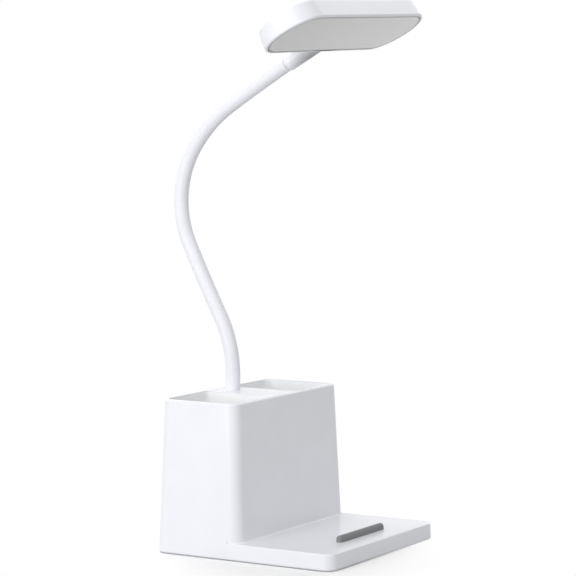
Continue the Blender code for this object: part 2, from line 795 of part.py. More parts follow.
def neck_point(distance):
    """(point, heading) of the middle line at a distance above the bridge."""
    y = NECK_Y
    z = BOX_HEIGHT
    heading = 0.0
    left = distance
    for length, turn in neck_stretches():
        run = min(left, length)
        if turn == 0.0:
            y -= run * math.sin(heading)
            z += run * math.cos(heading)
        else:
            bend = turn / length
            start = heading
            heading = start + bend * run
            y += (math.cos(heading) - math.cos(start)) / bend
            z += (math.sin(heading) - math.sin(start)) / bend
        left -= run
        if left <= 0.0:
            break
    return Vector((0.0, y, z)), heading


def joint_distance(number):
    """Where joint 1 to NECK_JOINTS stands along the neck."""
    free = neck_length() - NECK_RISE - NECK_TIP
    return NECK_RISE + free * (number - 1) / (NECK_JOINTS - 1)


def neck_ring(centre, heading, radius, ahead, origin):
    """A ring square to the neck, a little ahead of centre, as seen from origin."""
    along = Vector((0.0, -math.sin(heading), math.cos(heading)))
    across = Vector((0.0, math.cos(heading), math.sin(heading)))
    ring = []
    for k in range(NECK_SIDES):
        angle = 2 * math.pi * k / NECK_SIDES
        side = Vector((radius * math.cos(angle), 0.0, 0.0)) + across * (radius * math.sin(angle))
        ring.append(centre + along * ahead + side - origin)
    return ring


def fan(bm, ring, tip, flip):
    """Closes a ring with triangles to a point."""
    count = len(ring)
    for k in range(count):
        pair = (ring[k], ring[(k + 1) % count])
        if flip:
            pair = (pair[1], pair[0])
        bm.faces.new((*pair, tip))


def neck_piece(start, end, cup, ball):
    """A stretch of the neck, with a cup at its start and a ball at its end where asked."""
    bm = bmesh.new()
    origin, start_heading = neck_point(start)
    finish, end_heading = neck_point(end)
    rings = []
    first = start
    if cup:
        widest = math.asin(NECK_RADIUS / CUP_RADIUS)
        for k in range(1, BALL_STEPS):
            angle = widest * k / BALL_STEPS
            radius = CUP_RADIUS * math.sin(angle)
            height = CUP_RADIUS * math.cos(angle)
            rings.append(neck_ring(origin, start_heading, radius, height, origin))
        rings.append(neck_ring(origin, start_heading, NECK_RADIUS, CUP_RIM_HEIGHT, origin))
        first = start + CUP_RIM_HEIGHT
    else:
        rings.append(neck_ring(origin, start_heading, NECK_RADIUS, 0.0, origin))
    for k in range(1, LINK_RINGS + 1):
        centre, heading = neck_point(first + (end - first) * k / LINK_RINGS)
        rings.append(neck_ring(centre, heading, NECK_RADIUS, 0.0, origin))
    if ball:
        for k in range(1, BALL_STEPS):
            angle = math.pi / 2 * k / BALL_STEPS
            radius = NECK_RADIUS * math.cos(angle)
            height = NECK_RADIUS * math.sin(angle)
            rings.append(neck_ring(finish, end_heading, radius, height, origin))
    made = [[bm.verts.new(point) for point in ring] for ring in rings]
    for lower, upper in zip(made, made[1:]):
        for k in range(NECK_SIDES):
            following = (k + 1) % NECK_SIDES
            bm.faces.new((lower[k], lower[following], upper[following], upper[k]))
    if cup:
        along = Vector((0.0, -math.sin(start_heading), math.cos(start_heading)))
        fan(bm, made[0], bm.verts.new(along * CUP_RADIUS), True)
    else:
        bm.faces.new(list(reversed(made[0])))
    if ball:
        along = Vector((0.0, -math.sin(end_heading), math.cos(end_heading)))
        fan(bm, made[-1], bm.verts.new(finish - origin + along * NECK_RADIUS), False)
    else:
        bm.faces.new(made[-1])
    return bm, origin


def build_neck():
    bm, origin = neck_piece(GAP, joint_distance(1), False, True)
    root = add_object("neck_root", bm, "white_silicone", location=origin)
    bore = bmesh.new()
    add_cylinder(bore, -OVERRUN, FITTING_IN_NECK + GAP, FITTING_RADIUS + GAP, (0, 0))
    cut(root, add_object("neck_root_cutter", bore, "white_silicone", location=origin))
    for number in range(1, NECK_JOINTS):
        bm, origin = neck_piece(joint_distance(number), joint_distance(number + 1), True, True)
        add_object(f"neck_link_{number:02d}", bm, "white_silicone", location=origin)


# The head stands in a frame of its own: origin on the last joint, +X along the
# head, -Y forwards along the neck's end, +Z away from the lit side.


def head_pivot():
    """The empty that carries the head, on the last joint."""
    point, heading = neck_point(joint_distance(NECK_JOINTS))
    pivot = bpy.data.objects.new("head_pivot", None)
    bpy.context.scene.collection.objects.link(pivot)
    pivot.location = point
    tilt = Matrix.Rotation(heading - math.pi / 2, 4, "X")
    twist = Matrix.Rotation(-HEAD_TWIST, 4, "Y")
    pivot.rotation_euler = (tilt @ twist).to_euler()
    return pivot


def ahead(distance):
    """The head frame's Y at a distance beyond the neck's end."""
    return -(NECK_TIP + distance)


def head_centre_y():
    return ahead(SOCKET_LENGTH + HEAD_WIDTH / 2)


def stadium(inset, z):
    """The head's outline, drawn in by inset, with half-round ends."""
    centre = (0, head_centre_y())
    outline = round_ended_outline(centre, HEAD_LENGTH - 2 * inset, HEAD_WIDTH - 2 * inset, HEAD_END_STEPS)
    return at_height(outline, z)


def head_bottom():
    return -HEAD_THICKNESS / 2


def head_top():
    return HEAD_THICKNESS / 2


def pocket_inset():
    return HEAD_BOTTOM_EDGE + DIFFUSER_RIM


def ring_along_y(radius, y, sides=ROUND_STEPS):
    return [Vector((p.x, y, -p.y)) for p in circle(radius, 0, sides)]


def build_head_shell(pivot):
    rings = []
    for inset, drop in reversed(quarter_edge(HEAD_BOTTOM_EDGE, EDGE_STEPS)):
        rings.append(stadium(inset, head_bottom() + drop))
    rings.append(stadium(0, head_bottom() + HEAD_BOTTOM_EDGE))
    rings.append(stadium(HEAD_SIDE_INSET, head_top() - HEAD_TOP_EDGE))
    for inset, drop in quarter_edge(HEAD_TOP_EDGE, EDGE_STEPS):
        rings.append(stadium(HEAD_SIDE_INSET + inset, head_top() - drop))
    shell = add_object("head_shell", skin(rings), "white_plastic", pivot)

    mouth = ahead(0)
    root = ahead(SOCKET_LENGTH + HEAD_WALL / 2)
    profile = (
        (SOCKET_ROOT_RADIUS, root),
        (SOCKET_MOUTH_RADIUS, mouth - SOCKET_LIP),
        (SOCKET_MOUTH_RADIUS - SOCKET_LIP, mouth),
    )
    socket = skin([ring_along_y(radius, y, 2 * ROUND_STEPS) for radius, y in profile])
    join(shell, add_object("socket_body", socket, "white_plastic", pivot))

    step = head_bottom() + DIFFUSER_THICKNESS + GAP
    pocket = skin([stadium(pocket_inset(), head_bottom() - OVERRUN), stadium(pocket_inset(), step)])
    cut(shell, add_object("diffuser_pocket_cutter", pocket, "white_plastic", pivot))
    ceiling = head_top() - HEAD_WALL
    lower_inset = pocket_inset() + DIFFUSER_SEAT
    upper_inset = HEAD_SIDE_INSET + HEAD_TOP_EDGE + HEAD_WALL
    hollow = skin([stadium(lower_inset, step - HEAD_WALL / 2), stadium(upper_inset, ceiling)])
    cut(shell, add_object("head_hollow_cutter", hollow, "white_plastic", pivot))

    posts = bmesh.new()
    for place in lamp_post_places().values():
        add_cylinder(posts, lamp_board_top() + GAP, ceiling + HEAD_WALL / 2, LAMP_POST_RADIUS, place)
    join(shell, add_object("lamp_post_bodies", posts, "white_plastic", pivot))

    holes = bmesh.new()
    for place in lamp_post_places().values():
        depth = lamp_board_top() + LAMP_SCREW_BITE + GAP
        add_cylinder(holes, lamp_board_top(), depth, LAMP_SCREW_RADIUS + GAP, place, ROUND_STEPS // 2)
    inner_wall = ahead(SOCKET_LENGTH + pocket_inset() + DIFFUSER_SEAT + HEAD_WALL + OVERRUN)
    bore = (
        (TIP_RADIUS + GAP, inner_wall),
        (TIP_RADIUS + GAP, ahead(SOCKET_BITE + GAP)),
        (NECK_RADIUS + GAP, ahead(SOCKET_BITE + GAP)),
        (NECK_RADIUS + GAP, mouth + OVERRUN),
    )
    add_rings(holes, [ring_along_y(radius, y) for radius, y in bore])
    cut(shell, add_object("head_hole_cutter", holes, "white_plastic", pivot))


def lamp_board_top():
    return head_top() - HEAD_WALL - LAMP_BOARD_FROM_TOP


def lamp_board_low():
    return lamp_board_top() - LAMP_BOARD_THICKNESS


def lamp_post_places():
    y = head_centre_y()
    return {"left": (-LAMP_POST_X, y), "right": (LAMP_POST_X, y)}


def build_diffuser(pivot):
    inset = pocket_inset() + DIFFUSER_GAP
    rings = [stadium(inset, head_bottom()), stadium(inset, head_bottom() + DIFFUSER_THICKNESS)]
    add_object("diffuser", skin(rings), "diffuser_plastic", pivot)


def build_neck_tip(pivot):
    """The last stretch of sleeve, from the last joint into the head's socket."""
    rings = []
    widest = math.asin(NECK_RADIUS / CUP_RADIUS)
    for k in range(1, BALL_STEPS + 1):
        angle = widest * k / BALL_STEPS
        rings.append(ring_along_y(CUP_RADIUS * math.sin(angle), -CUP_RADIUS * math.cos(angle), NECK_SIDES))
    rings.append(ring_along_y(NECK_RADIUS, ahead(SOCKET_BITE), NECK_SIDES))
    bm = bmesh.new()
    made = [[bm.verts.new(point) for point in ring] for ring in rings]
    for lower, upper in zip(made, made[1:]):
        for k in range(NECK_SIDES):
            following = (k + 1) % NECK_SIDES
            bm.faces.new((lower[k], lower[following], upper[following], upper[k]))
    fan(bm, made[0], bm.verts.new((0.0, -CUP_RADIUS, 0.0)), True)
    bm.faces.new(made[-1])
    tip = add_object("neck_tip", bm, "white_silicone", pivot)
    bore = skin([ring_along_y(TIP_RADIUS + GAP, y) for y in (ahead(SOCKET_BITE) - OVERRUN, ahead(0))])
    cut(tip, add_object("neck_tip_cutter", bore, "white_silicone", pivot))


def tip_nut_y():
    """Where the tip nut's far face stands, against the shell's inner wall."""
    return ahead(SOCKET_LENGTH + pocket_inset() + DIFFUSER_SEAT + HEAD_WALL + GAP)


def build_tip_fitting(pivot):
    profile = (
        (TIP_BORE, ahead(GAP)),
        (TIP_RADIUS, ahead(GAP)),
        (TIP_RADIUS, tip_nut_y() - TIP_REACH),
        (TIP_BORE, tip_nut_y() - TIP_REACH),
    )
    fitting = skin([ring_along_y(radius, y) for radius, y in profile], True)
    add_object("tip_fitting", fitting, "steel", pivot)
    bm = nut(TIP_NUT_FLATS, TIP_RADIUS + GAP, 0, TIP_NUT_HEIGHT)
    far = tip_nut_y() - TIP_NUT_HEIGHT
    placed = Matrix.Translation((0, far, 0)) @ Matrix.Rotation(-math.pi / 2, 4, "X")
    bmesh.ops.transform(bm, matrix=placed, verts=bm.verts)
    add_object("tip_nut", bm, "steel", pivot)


def build_lamp_board(pivot):
    y = head_centre_y()
    low = (-LAMP_BOARD_LENGTH / 2, y - LAMP_BOARD_WIDTH / 2, lamp_board_low())
    high = (LAMP_BOARD_LENGTH / 2, y + LAMP_BOARD_WIDTH / 2, lamp_board_top())
    board = add_object("lamp_board", block(low, high), "aluminium", pivot)
    holes = bmesh.new()
    head_high = lamp_board_low() - GAP
    profile = (
        (LAMP_SCREW_HEAD_RADIUS, head_high - LAMP_SCREW_HEAD_HEIGHT),
        (LAMP_SCREW_HEAD_RADIUS, head_high),
        (LAMP_SCREW_RADIUS, head_high),
        (LAMP_SCREW_RADIUS, lamp_board_top() + LAMP_SCREW_BITE),
    )
    for side, place in lamp_post_places().items():
        bore_radius = LAMP_SCREW_RADIUS + GAP
        add_cylinder(holes, low[2] - OVERRUN, high[2] + OVERRUN, bore_radius, place, ROUND_STEPS // 2)
        screw = turned(profile, ROUND_STEPS // 2, centre=place)
        add_object(f"lamp_screw_{side}", screw, "steel", pivot)
    cut(board, add_object("lamp_board_cutter", holes, "aluminium", pivot))


def led_tape(row_y):
    """A row of lamps on one tape, as an outline with a tooth for each lamp."""
    top = lamp_board_low() - GAP
    tape = top - LED_TAPE_THICKNESS
    low = top - LED_HEIGHT
    half = LED_COUNT * LED_PITCH / 2
    outline = [(-half, top), (-half, tape)]
    for column in range(LED_COUNT):
        x = (column - (LED_COUNT - 1) / 2) * LED_PITCH
        left = x - LED_LENGTH / 2
        right = x + LED_LENGTH / 2
        outline += [(left, tape), (left, low), (right, low), (right, tape)]
    outline += [(half, tape), (half, top)]
    half_width = LED_WIDTH / 2
    return skin([[Vector((x, y, z)) for x, z in outline] for y in (row_y - half_width, row_y + half_width)])


def build_led_tapes(pivot):
    for row, side in ((-0.5, "front"), (0.5, "rear")):
        tape = led_tape(head_centre_y() + row * LED_ROW_PITCH)
        add_object(f"led_tape_{side}", tape, "led_yellow", pivot)


def smooth_run(points, steps):
    """Points on a smooth curve through a cord's route."""
    route = [points[0], *points, points[-1]]
    made = []
    for a, b, c, d in zip(route, route[1:], route[2:], route[3:]):
        for k in range(steps):
            t = k / steps
            square = (2 * a - 5 * b + 4 * c - d) * t**2
            cube = (3 * b - a - 3 * c + d) * t**3
            made.append((2 * b + (c - a) * t + square + cube) / 2)
    made.append(points[-1])
    return made


def add_wire(bm, points, radius):
    """A round wire along points, square at both ends."""
    side = Vector((1.0, 0.0, 0.0))
    rings = []
    for k, point in enumerate(points):
        along = (points[min(k + 1, len(points) - 1)] - points[max(k - 1, 0)]).normalized()
        up = along.cross(side).normalized()
        ring = []
        for number in range(LEAD_SIDES):
            angle = 2 * math.pi * number / LEAD_SIDES
            across = up.cross(along) * (radius * math.cos(angle))
            ring.append(point + across + up * (radius * math.sin(angle)))
        rings.append(ring)
    add_rings(bm, rings)


def add_lead(name, route, radius, finish, parent=None):
    bm = bmesh.new()
    add_wire(bm, smooth_run([Vector(point) for point in route], LEAD_STEPS), radius)
    add_object(name, bm, finish, parent)


def build_base_wires(tab_tops):
    face = BOARD_FACE_Y - GAP
    near_face = face - LEAD_RADIUS
    route = (
        (0, NECK_Y, CHANNEL_TOP),
        (0, NECK_Y, CHANNEL_TOP - FITTING_DROP),
        (0, NECK_Y, BOARD_TOP + NECK_LEAD_BEND),
        (0, (NECK_Y + near_face) / 2, BOARD_TOP),
        (0, near_face, BOARD_TOP - NECK_LEAD_BEND),
        (0, near_face, BOARD_TOP - NECK_LEAD_BEND - NECK_LEAD_TAIL),
    )
    add_lead("neck_lead", route, LEAD_RADIUS, "wire_white")

    start_y = CELL_Y + TAB_OUTWARD - BATTERY_LEAD_RADIUS
    end_y = face - BATTERY_LEAD_RADIUS
    step_y = (end_y - start_y) / 3
    for name, side, level, turn in (("battery_lead_low", 1, 0, 1), ("battery_lead_high", -1, 1, -1)):
        x = side * BATTERY_LEAD_X
        z = tab_tops[level] + BATTERY_LEAD_RADIUS + GAP
        drop = turn * BATTERY_LEAD_DROP
        route = (
            (0, start_y, z),
            (x / 2, start_y + BATTERY_LEAD_STEP, z),
            (x, start_y + step_y + BATTERY_LEAD_RADIUS, z + drop / 2),
            (x, end_y - BATTERY_LEAD_STEP, z + drop),
            (x, end_y, z + 2 * drop),
        )
        add_lead(name, route, BATTERY_LEAD_RADIUS, "wire_red")


def build_head_lead(pivot):
    """The wire's end, from inside the tip fitting to the lamp board."""
    stud_end = tip_nut_y() - TIP_REACH
    board_edge = head_centre_y() + LAMP_BOARD_WIDTH / 2
    z = lamp_board_low() - GAP - HEAD_LEAD_RADIUS
    route = (
        (0, stud_end + HEAD_LEAD_IN_FITTING, 0),
        (0, board_edge, z),
        (0, board_edge - HEAD_LEAD_ON_BOARD, z),
    )
    add_lead("head_lead", route, HEAD_LEAD_RADIUS, "wire_white", pivot)


def build_head():
    pivot = head_pivot()
    build_head_shell(pivot)
    build_diffuser(pivot)
    build_neck_tip(pivot)
    build_tip_fitting(pivot)
    build_lamp_board(pivot)
    build_led_tapes(pivot)
    build_head_lead(pivot)


def main():
    clear_scene()
    build_base_shell()
    build_bottom_cover()
    build_feet()
    build_cover_screws()
    build_counterweight()
    build_phone_stop()
    tab_tops = build_battery()
    build_main_board()
    build_charging_port()
    build_touch_board()
    build_neck_fixing()
    build_neck()
    build_head()
    build_base_wires(tab_tops)


if __name__ == "__main__":
    main()
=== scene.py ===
"""Desk lamp with two wells in its base: the visual model around its CAD, its finishes and its studio.

Lengths are in metres. +Z is up, -Y is the front with its ledge.
"""

import logging
import math
from collections.abc import Iterable, Mapping, Sequence
from dataclasses import dataclass
from enum import Enum

import bmesh
import bpy
from mathutils import Matrix, Vector


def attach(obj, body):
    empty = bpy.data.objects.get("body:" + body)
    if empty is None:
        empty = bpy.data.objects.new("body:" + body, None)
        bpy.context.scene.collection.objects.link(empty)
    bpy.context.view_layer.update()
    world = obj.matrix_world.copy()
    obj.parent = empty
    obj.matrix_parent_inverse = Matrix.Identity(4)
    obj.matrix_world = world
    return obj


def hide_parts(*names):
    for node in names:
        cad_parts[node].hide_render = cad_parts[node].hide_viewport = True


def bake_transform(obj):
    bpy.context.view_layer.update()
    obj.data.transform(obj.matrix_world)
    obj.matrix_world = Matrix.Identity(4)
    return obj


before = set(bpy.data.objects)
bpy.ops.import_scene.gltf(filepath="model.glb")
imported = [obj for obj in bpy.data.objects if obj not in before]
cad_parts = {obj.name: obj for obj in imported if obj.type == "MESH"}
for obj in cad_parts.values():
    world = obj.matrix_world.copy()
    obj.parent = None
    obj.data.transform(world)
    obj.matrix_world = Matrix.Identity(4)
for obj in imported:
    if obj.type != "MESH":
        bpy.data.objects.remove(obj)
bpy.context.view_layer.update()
LOG = logging.getLogger("desk_lamp")

Flat = tuple[float, float]
Point = tuple[float, float, float]
Colour = tuple[float, float, float]
QUARTER = math.pi / 2
HALF = 0.5
SHARP_ANGLE = math.radians(32)

# How far a cut reaches past a surface, and the clearance between pieces.
OVERRUN = 0.002
GAP = 0.0003


class Sum(Enum):
    """The operations of a Math node that the finishes use."""

    ADD = "ADD"
    SUBTRACT = "SUBTRACT"
    MULTIPLY = "MULTIPLY"
    DIVIDE = "DIVIDE"
    ABSOLUTE = "ABSOLUTE"
    GREATER = "GREATER_THAN"
    LARGEST = "MAXIMUM"
    SMALLEST = "MINIMUM"
    ROOT = "SQRT"
    WRAP = "FRACT"


@dataclass(frozen=True)
class Wire:
    """A node's output that can be used in sums."""

    graph: "Graph"
    socket: bpy.types.NodeSocket

    def __add__(self, other: "Wire | float") -> "Wire":
        """This plus another."""
        return self.graph.maths(Sum.ADD, self, other)

    def __radd__(self, other: float) -> "Wire":
        """A number plus this."""
        return self.graph.maths(Sum.ADD, other, self)

    def __sub__(self, other: "Wire | float") -> "Wire":
        """This less another."""
        return self.graph.maths(Sum.SUBTRACT, self, other)

    def __rsub__(self, other: float) -> "Wire":
        """A number less this."""
        return self.graph.maths(Sum.SUBTRACT, other, self)

    def __mul__(self, other: "Wire | float") -> "Wire":
        """This times another."""
        return self.graph.maths(Sum.MULTIPLY, self, other)

    def __rmul__(self, other: float) -> "Wire":
        """A number times this."""
        return self.graph.maths(Sum.MULTIPLY, other, self)

    def __truediv__(self, other: "Wire | float") -> "Wire":
        """This divided by another."""
        return self.graph.maths(Sum.DIVIDE, self, other)

    def __rtruediv__(self, other: float) -> "Wire":
        """A number divided by this."""
        return self.graph.maths(Sum.DIVIDE, other, self)

    def __gt__(self, other: "Wire | float") -> "Wire":
        """1 where this is greater, and 0 elsewhere."""
        return self.graph.maths(Sum.GREATER, self, other)

    def __lt__(self, other: "Wire | float") -> "Wire":
        """1 where this is smaller, and 0 elsewhere."""
        return self.graph.maths(Sum.GREATER, other, self)

    def __abs__(self) -> "Wire":
        """This without its sign."""
        return self.graph.maths(Sum.ABSOLUTE, self)


class Graph:
    """The nodes of one material or world. A Mix node's colour sockets are known by their places."""

    MIX_LOW = 6
    MIX_HIGH = 7
    MIX_RESULT = 2

    def __init__(self, owner: bpy.types.Material | bpy.types.World) -> None:
        """Takes over the nodes and clears them.

        Args:
            owner: The material or world.
        """
        owner.use_nodes = True
        self.tree = owner.node_tree
        self.tree.nodes.clear()

    def add(self, kind: str, settings: Mapping, values: Mapping) -> bpy.types.Node:
        """Adds a node of any kind.

        Args:
            kind: The node's type name.
            settings: Its own properties, set before its sockets are used.
            values: A number, colour or wire for each socket, by name or place.

        Returns:
            The new node.
        """
        node = self.tree.nodes.new(kind)
        for name, value in settings.items():
            setattr(node, name, value)
        for key, value in values.items():
            socket = node.inputs[key]
            if isinstance(value, Wire):
                self.tree.links.new(value.socket, socket)
            else:
                socket.default_value = value
        return node

    def wire(self, kind: str, settings: Mapping, values: Mapping, key: str | int = 0) -> Wire:
        """Adds a node as add does, and gives one of its outputs."""
        return Wire(self, self.add(kind, settings, values).outputs[key])

    def maths(self, operation: Sum, first: Wire | float, second: Wire | float = 0.0) -> Wire:
        """Two numbers put together."""
        return self.wire("ShaderNodeMath", {"operation": operation.value}, {0: first, 1: second})

    def clamped(self, value: Wire) -> Wire:
        """A number kept between 0 and 1."""
        return self.maths(Sum.SMALLEST, self.maths(Sum.LARGEST, value, 0.0), 1.0)

    def length(self, *parts: Wire) -> Wire:
        """The length of a vector with these parts."""
        return self.maths(Sum.ROOT, sum((part * part for part in parts), 0.0))

    def mix(self, mask: Wire | float, low: Wire | Colour, high: Wire | Colour) -> Wire:
        """A colour between two others: a mask of 0 gives low, and 1 gives high."""
        values = {"Factor": mask, self.MIX_LOW: self.solid(low), self.MIX_HIGH: self.solid(high)}
        return self.wire("ShaderNodeMix", {"data_type": "RGBA"}, values, self.MIX_RESULT)

    def solid(self, colour: Wire | Colour) -> Wire | tuple[float, ...]:
        """A colour as a socket takes it."""
        return colour if isinstance(colour, Wire) else (*colour, 1.0)

    def place(self) -> Wire:
        """Where a point of the object is, in the object's own frame."""
        return self.wire("ShaderNodeTexCoord", {}, {}, "Object")

    def parts(self, vector: Wire) -> tuple[Wire, Wire, Wire]:
        """A vector's X, Y and Z."""
        node = self.add("ShaderNodeSeparateXYZ", {}, {0: vector})
        return Wire(self, node.outputs[0]), Wire(self, node.outputs[1]), Wire(self, node.outputs[2])

    def stretched(self, vector: Wire, factors: Point) -> Wire:
        """A vector with each part multiplied."""
        return self.wire("ShaderNodeVectorMath", {"operation": "MULTIPLY"}, {0: vector, 1: factors})

    def noise(self, vector: Wire, scale: float, detail: float) -> Wire:
        """Cloudy noise between 0 and 1."""
        return self.wire("ShaderNodeTexNoise", {}, {"Vector": vector, "Scale": scale, "Detail": detail})

    def cells(self, vector: Wire, scale: float) -> Wire:
        """The distance to the nearest of many scattered points."""
        return self.wire("ShaderNodeTexVoronoi", {}, {"Vector": vector, "Scale": scale})

    def bump(self, height: Wire, distance: float, strength: float) -> Wire:
        """Normals that follow a height."""
        values = {"Height": height, "Distance": distance, "Strength": strength}
        return self.wire("ShaderNodeBump", {}, values)


@dataclass(frozen=True)
class Finish:
    """A surface: its plain values and how far each varies over it."""

    name: str
    colour: Colour
    roughness: float
    metallic: float = 0.0
    coat: float = 0.0
    reflection: float = 0.5
    tone_change: float = 0.03
    tone_scale: float = 45.0
    tone_detail: float = 3.0
    gloss_change: float = 0.08
    speckle_share: float = 0.25
    grain_scale: float = 2600.0
    grain_detail: float = 2.0
    grain_height: float = 0.00004
    grain_strength: float = 0.12

    def material(self) -> bpy.types.Material:
        """Makes the material, once.

        Returns:
            The material of this name.
        """
        if self.name in bpy.data.materials:
            return bpy.data.materials[self.name]
        made = bpy.data.materials.new(self.name)
        graph = Graph(made)
        place = graph.place()
        cloud = graph.noise(place, self.tone_scale, self.tone_detail)
        values = {
            "Base Color": self.paint(graph, place, cloud),
            "Roughness": self.gloss(graph, place, cloud),
            "Metallic": self.metallic,
            "Coat Weight": self.coat,
            "Specular IOR Level": self.reflection,
            "Normal": graph.bump(self.relief(graph, place), self.grain_height, self.grain_strength),
        }
        shader = graph.wire("ShaderNodeBsdfPrincipled", {}, values)
        graph.add("ShaderNodeOutputMaterial", {}, {"Surface": shader})
        return made

    def shade(self, share: float) -> Colour:
        """The finish's colour made lighter or darker."""
        red, green, blue = (min(part * share, 1.0) for part in self.colour)
        return red, green, blue

    def paint(self, graph: Graph, place: Wire, cloud: Wire) -> Wire:
        """The colour over the surface."""
        return graph.mix(cloud, self.shade(1 - self.tone_change), self.shade(1 + self.tone_change))

    def gloss(self, graph: Graph, place: Wire, cloud: Wire) -> Wire:
        """The roughness over the surface."""
        speckle = graph.noise(place, self.grain_scale * self.speckle_share, self.grain_detail)
        return (cloud + speckle - 1.0) * self.gloss_change + self.roughness

    def relief(self, graph: Graph, place: Wire) -> Wire:
        """The height of the fine grain."""
        return graph.noise(place, self.grain_scale, self.grain_detail)


@dataclass(frozen=True)
class CasingFinish(Finish):
    """Moulded plastic with the touch mark, a thin ring round a dot.

    The wells are painted lighter: painted light that stands in for light coming through the thin walls.
    """

    mark_y: float = 0.0275
    mark_top: float = 0.099
    mark_radius: float = 0.0042
    mark_line: float = 0.00035
    mark_dot: float = 0.0009
    mark_tone: Colour = (0.66, 0.67, 0.69)
    well_x: float = 0.0618
    well_y: Flat = (0.0072, 0.0614)
    well_z: Flat = (0.0112, 0.0988)
    well_corner: float = 0.0859
    # How much lighter the painted light makes the wells.
    painted_well_light: float = 1.18

    def inside(self, graph: Graph, place: Wire) -> Wire:
        """Marks the walls and floors of the wells, where the light is painted.

        Args:
            graph: The material's nodes.
            place: Where the point is.

        Returns:
            1 in the wells and 0 elsewhere.
        """
        x, y, z = graph.parts(place)
        along = abs(y - sum(self.well_y) / 2)
        mask = (abs(x) < self.well_x) * (abs(x) + along < self.well_corner)
        for value, (low, high) in ((y, self.well_y), (z, self.well_z)):
            mask = mask * (value > low) * (value < high)
        return mask

    def paint(self, graph: Graph, place: Wire, cloud: Wire) -> Wire:
        """White, with painted light in the wells and the grey mark on the bridge.

        Args:
            graph: The material's nodes.
            place: Where the point is.
            cloud: Soft noise over the piece.

        Returns:
            The colour.
        """
        plain = super().paint(graph, place, cloud)
        # Painted light: the wells are made lighter than the rest of the moulding.
        with_painted_light = graph.mix(self.inside(graph, place), plain, self.shade(self.painted_well_light))
        x, y, z = graph.parts(place)
        radius = graph.length(x, y - self.mark_y)
        soft = self.mark_line / 2
        ring = graph.clamped((self.mark_line - abs(radius - self.mark_radius)) / soft)
        dot = graph.clamped((self.mark_dot - radius) / soft)
        mark = graph.maths(Sum.LARGEST, ring, dot) * (z > self.mark_top)
        return graph.mix(mark, with_painted_light, self.mark_tone)


@dataclass(frozen=True)
class HeadFinish(Finish):
    """Moulded plastic with painted shade: darker in the corner between the socket's underside and the head.
    """

    # Painted shade: the centre, reach and depth of the darkening under the socket.
    corner: Point = (0.005, -0.0145, 0.3185)
    painted_shade_reach: float = 0.019
    painted_shade_share: float = 0.15

    def paint(self, graph: Graph, place: Wire, cloud: Wire) -> Wire:
        """White that turns grey towards the corner: painted shade.

        Args:
            graph: The material's nodes.
            place: Where the point is.
            cloud: Soft noise over the piece.

        Returns:
            The colour.
        """
        offsets = [part - middle for part, middle in zip(graph.parts(place), self.corner)]
        # Painted shade, strongest at the corner and gone at its reach.
        near = graph.clamped(1.0 - graph.length(*offsets) / self.painted_shade_reach)
        return graph.mix(near, super().paint(graph, place, cloud), self.shade(self.painted_shade_share))


@dataclass(frozen=True)
class MilkyFinish(Finish):
    """A diffuser's plastic with painted light and shade: darker towards -X and lighter towards +X."""

    span: float = 0.14
    # How far the painted light and shade move the colour at each end.
    painted_end_light: float = 0.1

    def paint(self, graph: Graph, place: Wire, cloud: Wire) -> Wire:
        """Grey white with painted light and shade that changes along the head."""
        # Painted light and shade: the colour runs from darker at -X to lighter at +X.
        along = graph.clamped(graph.parts(place)[0] / self.span + cloud * self.tone_change + HALF)
        return graph.mix(along, self.shade(1 - self.painted_end_light), self.shade(1 + self.painted_end_light))


@dataclass(frozen=True)
class BrushedFinish(Finish):
    """Metal with fine lines along one direction."""

    line_ratio: Point = (1.0, 1.0, 0.03)

    def relief(self, graph: Graph, place: Wire) -> Wire:
        """Long thin scratches."""
        return graph.noise(graph.stretched(place, self.line_ratio), self.grain_scale, self.grain_detail)


@dataclass(frozen=True)
class BoardFinish(Finish):
    """A circuit board: mask over copper tracks, with a few pale pads."""

    track_scale: float = 420.0
    gap_share: float = 0.62
    track_tone: Colour = (0.04, 0.38, 0.17)
    pad_tone: Colour = (0.62, 0.60, 0.52)
    pad_size: float = 0.12

    def paint(self, graph: Graph, place: Wire, cloud: Wire) -> Wire:
        """Tracks and pads over the mask.

        Args:
            graph: The material's nodes.
            place: Where the point is.
            cloud: Soft noise over the piece.

        Returns:
            The colour.
        """
        x, _, z = graph.parts(place)
        track = graph.maths(Sum.WRAP, (x + z) * self.track_scale) > self.gap_share
        pads = graph.cells(place, self.track_scale) < self.pad_size
        tracked = graph.mix(track, super().paint(graph, place, cloud), self.track_tone)
        return graph.mix(pads, tracked, self.pad_tone)


@dataclass(frozen=True)
class ContactFinish(Finish):
    """Black plastic with a row of gold contacts across it."""

    pitch: float = 0.0008
    gap_share: float = 0.55
    contact_tone: Colour = (0.83, 0.66, 0.32)

    def paint(self, graph: Graph, place: Wire, cloud: Wire) -> Wire:
        """Gold stripes along the depth."""
        contact = graph.maths(Sum.WRAP, graph.parts(place)[0] / self.pitch) > self.gap_share
        return graph.mix(contact, super().paint(graph, place, cloud), self.contact_tone)


@dataclass(frozen=True)
class LampRowFinish(Finish):
    """Yellow lamp faces on a white tape."""

    pitch: float = 0.0098
    share: float = 0.36
    tape_tone: Colour = (0.85, 0.85, 0.83)

    def paint(self, graph: Graph, place: Wire, cloud: Wire) -> Wire:
        """Yellow where each lamp stands."""
        off_middle = abs(graph.maths(Sum.WRAP, graph.parts(place)[0] / self.pitch) - HALF)
        return graph.mix(off_middle < self.share / 2, self.tape_tone, super().paint(graph, place, cloud))


